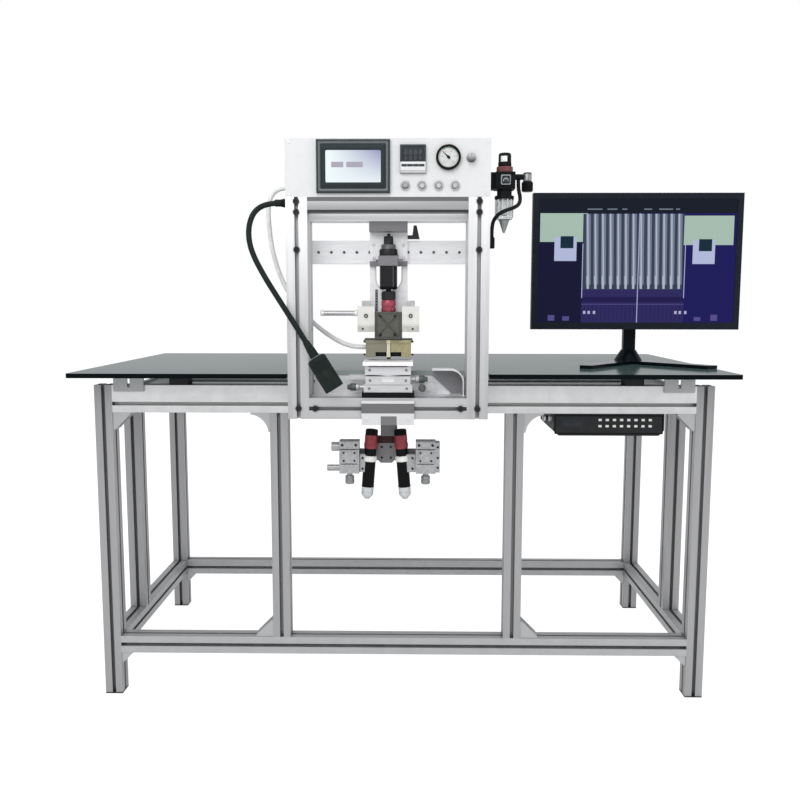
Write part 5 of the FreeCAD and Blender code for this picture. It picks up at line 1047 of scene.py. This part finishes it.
def head_moving():
    """Faceted cover, red adjuster, wing trims and fasteners, which move with the head."""
    face = spot(HEAD_X, -62.3, 863)
    half_x, half_z, gap = 23.5, 26, 1.3

    def cover_build(shape):
        for points in (((-half_x + gap, -half_z), (half_x - gap, -half_z), (0, -gap)),
                       ((half_x - gap, half_z), (-half_x + gap, half_z), (0, gap)),
                       ((-half_x, half_z - gap), (-half_x, -half_z + gap), (-gap, 0)),
                       ((half_x, -half_z + gap), (half_x, half_z - gap), (gap, 0))):
            centre_x = sum(x for x, _ in points) / 3
            centre_z = sum(z for _, z in points) / 3
            base = [face + local(x, 0, z) for x, z in points]
            top = [face + local(x + (centre_x - x) * 0.12, -1.8, z + (centre_z - z) * 0.12)
                   for x, z in points]
            peak = shape.verts.new(face + local(centre_x, -2.6, centre_z))
            low_ring = [shape.verts.new(c) for c in base]
            top_ring = [shape.verts.new(c) for c in top]
            shape.faces.new(low_ring)
            for i in range(3):
                j = (i + 1) % 3
                shape.faces.new((low_ring[i], low_ring[j], top_ring[j], top_ring[i]))
                shape.faces.new((top_ring[i], top_ring[j], peak))
        screws(shape, (-48, -17), -63.9, (843,), 6.4, 3, 1)
        screws(shape, (-48, -17), -63.9, (883.5,), 5, 2.4, 1)

    piece("carriage_cover", cover_build, "olive_block screw_black", "head",
          sharp=20)

    def adjuster_build(shape):
        lathe(shape, [(14.8, 0), (15.5, 0.8), (15.5, 9), (14.2, 9.8), (14.2, 11.6), (15.5, 12.4),
                      (15.5, 22.6), (13.2, 26), (0, 26)], spot(HEAD_X, STEM_Y, 892),
              teeth={1: (40, 0.5), 5: (40, 0.5)})
        lathe(shape, [(4.2, 12), (4.2, 17.4), (3.4, 18.2), (0, 18.2)], spot(HEAD_X, STEM_Y, 897),
              Vector((0.62, -0.78, 0)), 24, 0)
        lathe(shape, [(2, 18.2), (1.9, 18.4), (0, 18.5)], spot(HEAD_X, STEM_Y, 897),
              Vector((0.62, -0.78, 0)), 6, 1)

    piece("adjuster_knob", adjuster_build, "red_anodised screw_black", "head",
          ("pressure_adjuster",))

    def wing_build(shape):
        for left, right, screw_x, boss_x in ((-97.3, -60.7, -86, -79), (-1.3, 35.3, 21.5, 17)):
            front(shape, left, right, 849.2, 862, WING_Y, 0.5, 1, 0.2)
            front(shape, boss_x - 9, boss_x + 9, 904, 915.8, WING_Y, 0.6, 2, 0.3)
            screw(shape, spot(boss_x, WING_Y, 883.5), AHEAD, 8.4, 3.6, 3)
            screw(shape, spot(screw_x, WING_Y, 855.5), AHEAD, 4.5, 1.8, 3)
            front(shape, left, right, 864, 864.6, WING_Y, 0.15, 2, 0)
        for y, z in ((-53, 828.5), (-51, 800)):
            screws(shape, (-83, 21), y, (z,), 5, 2.4, 3)

    piece("wing_trims", wing_build, "wing_white band_grey key_grey screw_black",
          "head")

    def roller_build(shape):
        at = spot(-97.5, -51.3, 889)
        lathe(shape, [(5, 0.3), (6, 1), (6, 6), (5.4, 6.6), (5.4, 72), (6, 72.6), (6, 78.6),
                      (4.8, 80), (0, 80)], at, (-1, 0, 0), 36, [1, 1, 1, 0, 0, 1, 1, 1])

    piece("roller_sleeve", roller_build, "rod_grey machined", "roller",
          ("tape_roller",))


# Platform
def thimble(name, body, node, at, axis):
    """A micrometer head: graduated sleeve, knurled thimble and ratchet cap."""

    def build(shape):
        lathe(shape, [(4.6, 0.3), (5, 0.8), (5, 10), (7.2, 11), (8, 13.4), (8, 17), (7.6, 17.6),
                      (7.6, 18.4), (8, 19), (8, 29.6), (6.6, 31.6), (5.5, 32), (5.5, 36),
                      (4.8, 37), (0, 37)], at, axis, mats=[1] * 6 + [0] * 8,
              teeth={8: (32, 0.5), 11: (20, 0.35)})
        frame_of = turned_to(axis, at)
        for i in range(20):
            about = frame_of @ Matrix.Rotation(2 * math.pi * i / 20, 4, "Z")
            slab(shape, local(7.7, -0.12, 13.6), local(8.08, 0.12, 15.6 if i % 5 else 16.8),
                 0, 2, about)
        for i in range(6):
            slab(shape, local(-0.5, -5.06, 2.5 + 1.3 * i), local(1.6, -4.9, 2.7 + 1.3 * i),
                 0, 2, frame_of)

    piece(name, build, "thimble_metal stage_metal matte_black", body,
          (node,))


def platform():
    thimble("x_micrometer", "x_adjuster", "x_thimble", spot(-83, -60, 729.8), (-1, 0, 0))
    thimble("y_micrometer", "y_adjuster", "y_thimble", spot(42, -55.5, 729.8), AHEAD)
    thimble("theta_micrometer", "theta_adjuster", "theta_thimble", spot(17, -60, 747.1), (1, 0, 0))

    def x_build(shape):
        screws(shape, (-71, 9), STAGE_Y, (729.8,), 5.6, 1.6)
        front(shape, -83, 21, 736.2, 736.8, STAGE_Y, 0.1, 1, 0)

    def y_build(shape):
        screws(shape, (-69, 7), STAGE_Y, (747,), 5.6, 1.6)
        front(shape, -44, -18, 743.5, 750.5, STAGE_Y, 0.4, 2, 0.15)
        for i in range(13):
            front(shape, -43.1 + 2 * i, -42.9 + 2 * i, 746.5 if i % 3 else 744.8, 750.2,
                  STAGE_Y - 0.4, 0.08, 1, 0)

    def top_build(shape):
        screws(shape, (-70, 8), STAGE_Y, (769,), 5.6, 1.6)
        for x, y in ((-78, -96), (16, -96), (-78, -11), (16, -11)):
            lathe(shape, [(2.8, 0.02), (2.2, 0.12), (1.5, 0.05), (0, 0.05)], spot(x, y, 787),
                  steps=20)
        # Painted shadow: a dark strip just under the top plate.
        front(shape, -72, 10, 775.5, 778.6, STAGE_Y, 0.4, 3, 0.1)

    piece("x_stage_trim", x_build, "knob_grey line_grey", "platform_x")
    piece("y_stage_trim", y_build, "knob_grey line_grey machined", "platform_y")
    piece("work_plate_trim", top_build,
          "knob_grey line_grey machined dark_anodised", "platform_top")


# Cameras
def camera(side, base_x, sign):
    """A barrel with its tapered tail, pale ring, red collar and lens, leaning to the middle."""
    lean = math.radians(4.3)
    axis = Vector((-sign * math.sin(lean), 0, math.cos(lean)))
    base = spot(base_x, -30, 476)

    def build(shape):
        lathe(shape, [(0, 0), (5.6, 0.4), (7.5, 3), (12.6, 9), (13.6, 12), (13.6, 15), (13, 15.6),
                      (13, 17), (13.6, 17.6), (13.6, 27), (14, 28), (14, 31), (13.6, 31.6),
                      (13.6, 84), (14.6, 86), (15.5, 87.4), (15.5, 96), (14.8, 97.4), (13, 98.4),
                      (13, 113), (14, 115), (14.4, 116), (14.4, 128), (14, 128.6), (14, 130),
                      (14.4, 130.6), (14.4, 144), (13.8, 145), (13.8, 155), (12.8, 157), (10, 157),
                      (9.6, 153.6)], base, axis,
              mats=[0] * 10 + [1] * 4 + [2] * 4 + [1] * 2 + [3] * 7 + [1] * 4,
              teeth={11: (40, 0.2)})
        lathe(shape, [(9.7, 153.4), (6, 154.8), (0, 155.4)], base, axis, 40, 4)
        lathe(shape, [(14.4, 119), (15, 119), (15, 126), (14.4, 126)], base, axis, 56, 3,
              teeth={1: (44, 0.35)})
        inner = -96 + 0.3 if sign < 0 else 29 - 0.3
        first, last = sorted((inner, base_x + sign * 2))
        slab(shape, spot(first, -40, 538), spot(last, -20, 578), mm(0.8), 5)
        screws(shape, (inner - sign * 7,), -40, (546, 570), 5, 2, 6)

    piece(side + "_camera_barrel", build,
          "tail_silver satin_black ring_white camera_red lens_glass slide_grey screw_black",
          side + "_eye", (side + "_camera",))

    focus_at = spot(-118 if sign < 0 else 51, -30, 536)

    def focus_build(shape):
        lathe(shape, [(5.6, 0.3), (6, 1), (6, 6), (9, 7.4), (10, 9), (10, 13), (9.5, 13.6),
                      (9.5, 14.4), (10, 15), (10, 23.4), (9, 25.4), (7.6, 26), (0, 26)], focus_at,
              (0, 0, -1), mats=[1] * 3 + [0] * 9, teeth={8: (36, 0.5)})

    piece(side + "_focus_cap", focus_build, "knob_grey slide_grey", side + "_focus",
          (side + "_focus_thimble",))


def camera_slides():
    """Dovetail lines, lock screws, scales and the knurled side knobs of the camera stages."""

    def common(shape, x):
        front(shape, x - 21, x + 21, 592, 606.5, SLIDE_Y, 1.6, 0, 0.5)
        front(shape, x - 17, x + 17, 560, 588, SLIDE_Y, 2.2, 0, 0.8)
        front(shape, x - 21.5, x + 21.5, 589.4, 590.8, SLIDE_Y, 0.3, 1, 0)
        front(shape, x - 19, x + 19, 556.6, 557.8, SLIDE_Y, 0.3, 1, 0)
        screws(shape, (x - 15, x + 15), SLIDE_Y - 1.6, (600,), 6, 1.8, 2)
        screws(shape, (x - 12, x + 12), SLIDE_Y - 2.2, (565, 583), 4.5, 1.8, 2)
        for i in range(9):
            front(shape, x - 8 + 2 * i - 0.12, x - 8 + 2 * i + 0.12, 592.6,
                  595.6 if i % 4 else 597, SLIDE_Y - 1.6, 0.1, 2, 0)

    def left_build(shape):
        common(shape, -118)
        for z, radius, long in ((594, 10, 18), (546, 7, 28)):
            lathe(shape, [(radius * 0.7, 0), (radius * 0.7, 3), (radius, 4),
                          (radius + 0.1, long - 2), (radius - 1.4, long + 0.2), (0, long + 0.3)],
                  spot(-140, -30, z), (-1, 0, 0), mats=3, teeth={2: (36, 0.5)})

    def right_build(shape):
        common(shape, 51)
        front(shape, 73.4, 81.8, 540, 605.5, SLIDE_Y, 0.5, 0, 0.2)
        screws(shape, (77.5,), SLIDE_Y - 0.5, (550, 572, 596), 5, 1.8, 2)

    mats = "slide_grey matte_black screw_black knob_grey"
    piece("left_stage_trim", left_build, mats, "left_slide")
    piece("right_stage_trim", right_build, mats, "right_slide")

    def carrier_build(shape):
        front(shape, -57, -17, 599, 614.6, CARRIER_Y, 0.8, 0, 0.4)
        screws(shape, (-47, -27), CARRIER_Y, (566, 590), 5, 2, 1)

    piece("carrier_trim", carrier_build, "band_brown screw_black", "frame")


# Screen
SCREEN_X, PICTURE_LEFT, PICTURE_WIDE, PICTURE_TOP, PICTURE_TALL = 565, 326, 478, 1161, 297


def on_screen(u, v, lift):
    """A place on the picture: u from the left, v from the top, lift off the panel in mm."""
    return spot(PICTURE_LEFT + u * PICTURE_WIDE, 202 - lift, PICTURE_TOP - v * PICTURE_TALL)


def picture_of_monitor():
    """A magnified view of a row of contacts, with two alignment marks, as glowing fields."""
    shades = list(GLOWS)

    def build(shape):
        def patch(u0, v0, u1, v1, lift, shade, lean=0.0):
            corners = [on_screen(u, v, lift) for u, v in
                       ((u0, v0), (u1, v0), (u1 + lean, v1), (u0 + lean, v1))]
            field = shape.faces.new([shape.verts.new(corner) for corner in corners])
            field.material_index = shades.index(shade + "_glow")

        patch(0, 0, 0.5, 1, 0.1, "navy")
        patch(0.5, 0, 1, 1, 0.1, "deep")
        patch(0, 0, 1, 0.115, 0.2, "black")
        patch(0.008, 0.115, 0.245, 0.345, 0.3, "pale")
        patch(0.735, 0.135, 0.985, 0.37, 0.3, "pale")
        patch(0.225, 0.12, 0.735, 0.73, 0.32, "gap")
        patch(0.225, 0.73, 0.745, 1, 0.25, "violet")
        for left, top in ((0.082, 0.344), (0.782, 0.368)):
            patch(left, top - 0.04, left + 0.112, top + 0.155, 0.4, "tab")
            patch(left + 0.03, top - 0.045, left + 0.096, top + 0.052, 0.5, "mark")
        for i in range(13):
            start = 0.238 + i * 0.0385
            patch(start, 0.12, start + 0.024, 0.69, 0.4, "stripe", 0.008)
            patch(start + 0.004, 0.12, start + 0.012, 0.7, 0.45, "core", 0.012)
            patch(start + 0.01, 0.62, start + 0.022, 0.725, 0.5, "core", 0.002)
        patch(0.225, 0.79, 0.745, 0.835, 0.3, "band")
        for u in (0.224, 0.507, 0.742):
            patch(u, 0.36 if u != 0.507 else 0.115, u + 0.004, 0.8 if u != 0.507 else 1, 0.55,
                  "line")
        for i in range(24):
            patch(0.24 + i * 0.021, 0.86, 0.243 + i * 0.021, 0.985, 0.35, "band")
        patch(0.225, 0.848, 0.745, 0.853, 0.35, "blob")
        for left, wide in ((0.245, 0.075), (0.345, 0.05), (0.42, 0.025), (0.53, 0.04),
                           (0.605, 0.07), (0.69, 0.02)):
            patch(left, 0.078, left + wide, 0.088, 0.3, "stripe")
        for u, tall in ((0.055, 0.045), (0.13, 0.035), (0.80, 0.03), (0.885, 0.05)):
            patch(u, 0.985 - tall, u + 0.034, 0.985, 0.4, "blob")
        for left in (0.235, 0.258, 0.285, 0.7, 0.722, 0.75):
            patch(left, 0.905, left + 0.012, 0.93, 0.4, "line")

    piece("monitor_picture", build, " ".join(shades), "screen")

    def back_build(shape):
        for i in range(16):
            slab(shape, spot(465 + 12.5 * i, 233.9, 1090), spot(471 + 12.5 * i, 234.2, 1112),
                 mm(0.05), 0)
        slab(shape, spot(520, 233.8, 905), spot(610, 234.2, 918), mm(0.1), 0)
        for x in (515, 615):
            for z in (950, 1050):
                lathe(shape, [(2.1, -6), (2.1, -2), (0, -2)], spot(x, 234, z), (0, 1, 0), 14, 1)

    piece("monitor_back_vents", back_build, "matte_black key_grey", "screen")


# Controller under the rail
def face_of_controller():
    def build(shape):
        y = 0.3
        front(shape, 358, 402.4, 636, 652, y + 0.7, 0.6, 0, 0.2)
        for row in range(2):
            for i in range(8):
                x, z = 442.16 + 16 * i, 637 + 14 * row
                front(shape, x - 3.6, x + 3.6, z - 2.6, z + 2.6, y - 1, 0.5, 1, 0.25)
        rim(shape, spot(462, y, 640), [(121.5, 21.5, 0.02), (121.2, 21.2, 0.35), (119, 19, 0.35),
                                       (118.8, 18.8, 0.02)], mats=2)
        lathe(shape, [(6.7, 0), (7.2, 1), (7.2, 8), (6.2, 9), (6.2, 14), (6.9, 15), (6.9, 19),
                      (5.6, 20.4), (0, 20.4)], spot(338, 24, 652), (-1, 0, 0), 36, 3,
              teeth={1: (24, 0.4)})

    piece("controller_face", build,
          "window_dark wing_white satin_black bright_metal", "frame")


# Studio: strengths, the share of the floor that glows (more for the camera, and for all), and
# each lamp's name, place, aim, size and power, in metres and watts
WORLD_LIGHT, FLOOR_LIGHT, FLOOR_SHARE, FLOOR_REACH = 0.62, 1.3, (0.5, 0.22), 14
LAMPS = (("key", (-0.7, -2.4, 2.6), (-0.05, -0.2, 0.9), 2.2, 46),
         ("top", (0.2, 0.3, 3.2), (0, 0, 0.7), 2.6, 30),
         ("side", (2.8, -1.2, 1.6), (0, 0, 0.8), 1.6, 16))


def added(tree, kind, sources=(), operation=None, **values):
    """A new node: sources go to its first inputs, and values fill its sockets by name."""
    made = tree.nodes.new("ShaderNode" + kind)
    if operation:
        made.operation = operation
    for socket, source in zip(made.inputs, sources):
        tree.links.new(source, socket)
    for socket, value in values.items():
        made.inputs[socket].default_value = value
    return made


def make_world():
    """A pale surrounding that the camera sees as plain white."""
    world = bpy.data.worlds.new("studio")
    bpy.context.scene.world = world
    world.use_nodes = True
    tree = world.node_tree
    back = tree.nodes["Background"]
    back.inputs["Color"].default_value = (0.97, 0.98, 1, 1)
    back.inputs["Strength"].default_value = WORLD_LIGHT
    seen = added(tree, "Background", Color=(1, 1, 1, 1))
    path = added(tree, "LightPath").outputs
    plain = added(tree, "Math", (path["Is Camera Ray"], path["Is Transmission Ray"]), "MAXIMUM")
    mix = added(tree, "MixShader", (plain.outputs[0], back.outputs[0], seen.outputs[0]))
    tree.links.new(mix.outputs[0], tree.nodes["World Output"].inputs[0])


def make_floor():
    """A matt floor that glows, more so to the camera, so that only soft shadows show on it."""
    material = bpy.data.materials.new("floor_white")
    material.use_nodes = True
    tree = material.node_tree
    tree.nodes.remove(tree.nodes["Principled BSDF"])
    matt = added(tree, "BsdfDiffuse", Color=(0.86, 0.86, 0.86, 1))
    light = added(tree, "Emission", Strength=FLOOR_LIGHT)
    path = added(tree, "LightPath").outputs
    share = added(tree, "Math", (path["Is Camera Ray"],), "MULTIPLY_ADD")
    share.inputs[1].default_value, share.inputs[2].default_value = FLOOR_SHARE
    mix = added(tree, "MixShader", (share.outputs[0], matt.outputs[0], light.outputs[0]))
    tree.links.new(mix.outputs[0], tree.nodes["Material Output"].inputs[0])
    mesh = bpy.data.meshes.new("floor")
    corners = [(x * FLOOR_REACH, y * FLOOR_REACH, 0)
               for x, y in ((-1, -1), (1, -1), (1, 1), (-1, 1))]
    mesh.from_pydata(corners, [], [(0, 1, 2, 3)])
    mesh.materials.append(material)
    floor = placed("floor", mesh)


def make_studio():
    make_world()
    make_floor()
    for name, place, aim, size, power in LAMPS:
        data = bpy.data.lights.new(name, "AREA")
        data.size = size
        data.energy = power
        lamp = placed(name, data)
        lamp.location = place
        lamp.rotation_euler = (Vector(aim) - Vector(place)).to_track_quat("-Z", "Y").to_euler()
    bpy.context.scene.view_settings.view_transform = "Standard"


make_camera()
make_materials()
dress_nodes()
screen_of_hmi()
face_of_temp_controller()
dial_of_gauge()
knobs_of_panel()
small_fasteners()
back_of_box()
air_unit()
work_lamp()
head_fixed()
head_moving()
platform()
camera("left", -80, -1)
camera("right", 6, 1)
camera_slides()
picture_of_monitor()
face_of_controller()
thermode_cable()
air_hose()
make_studio()
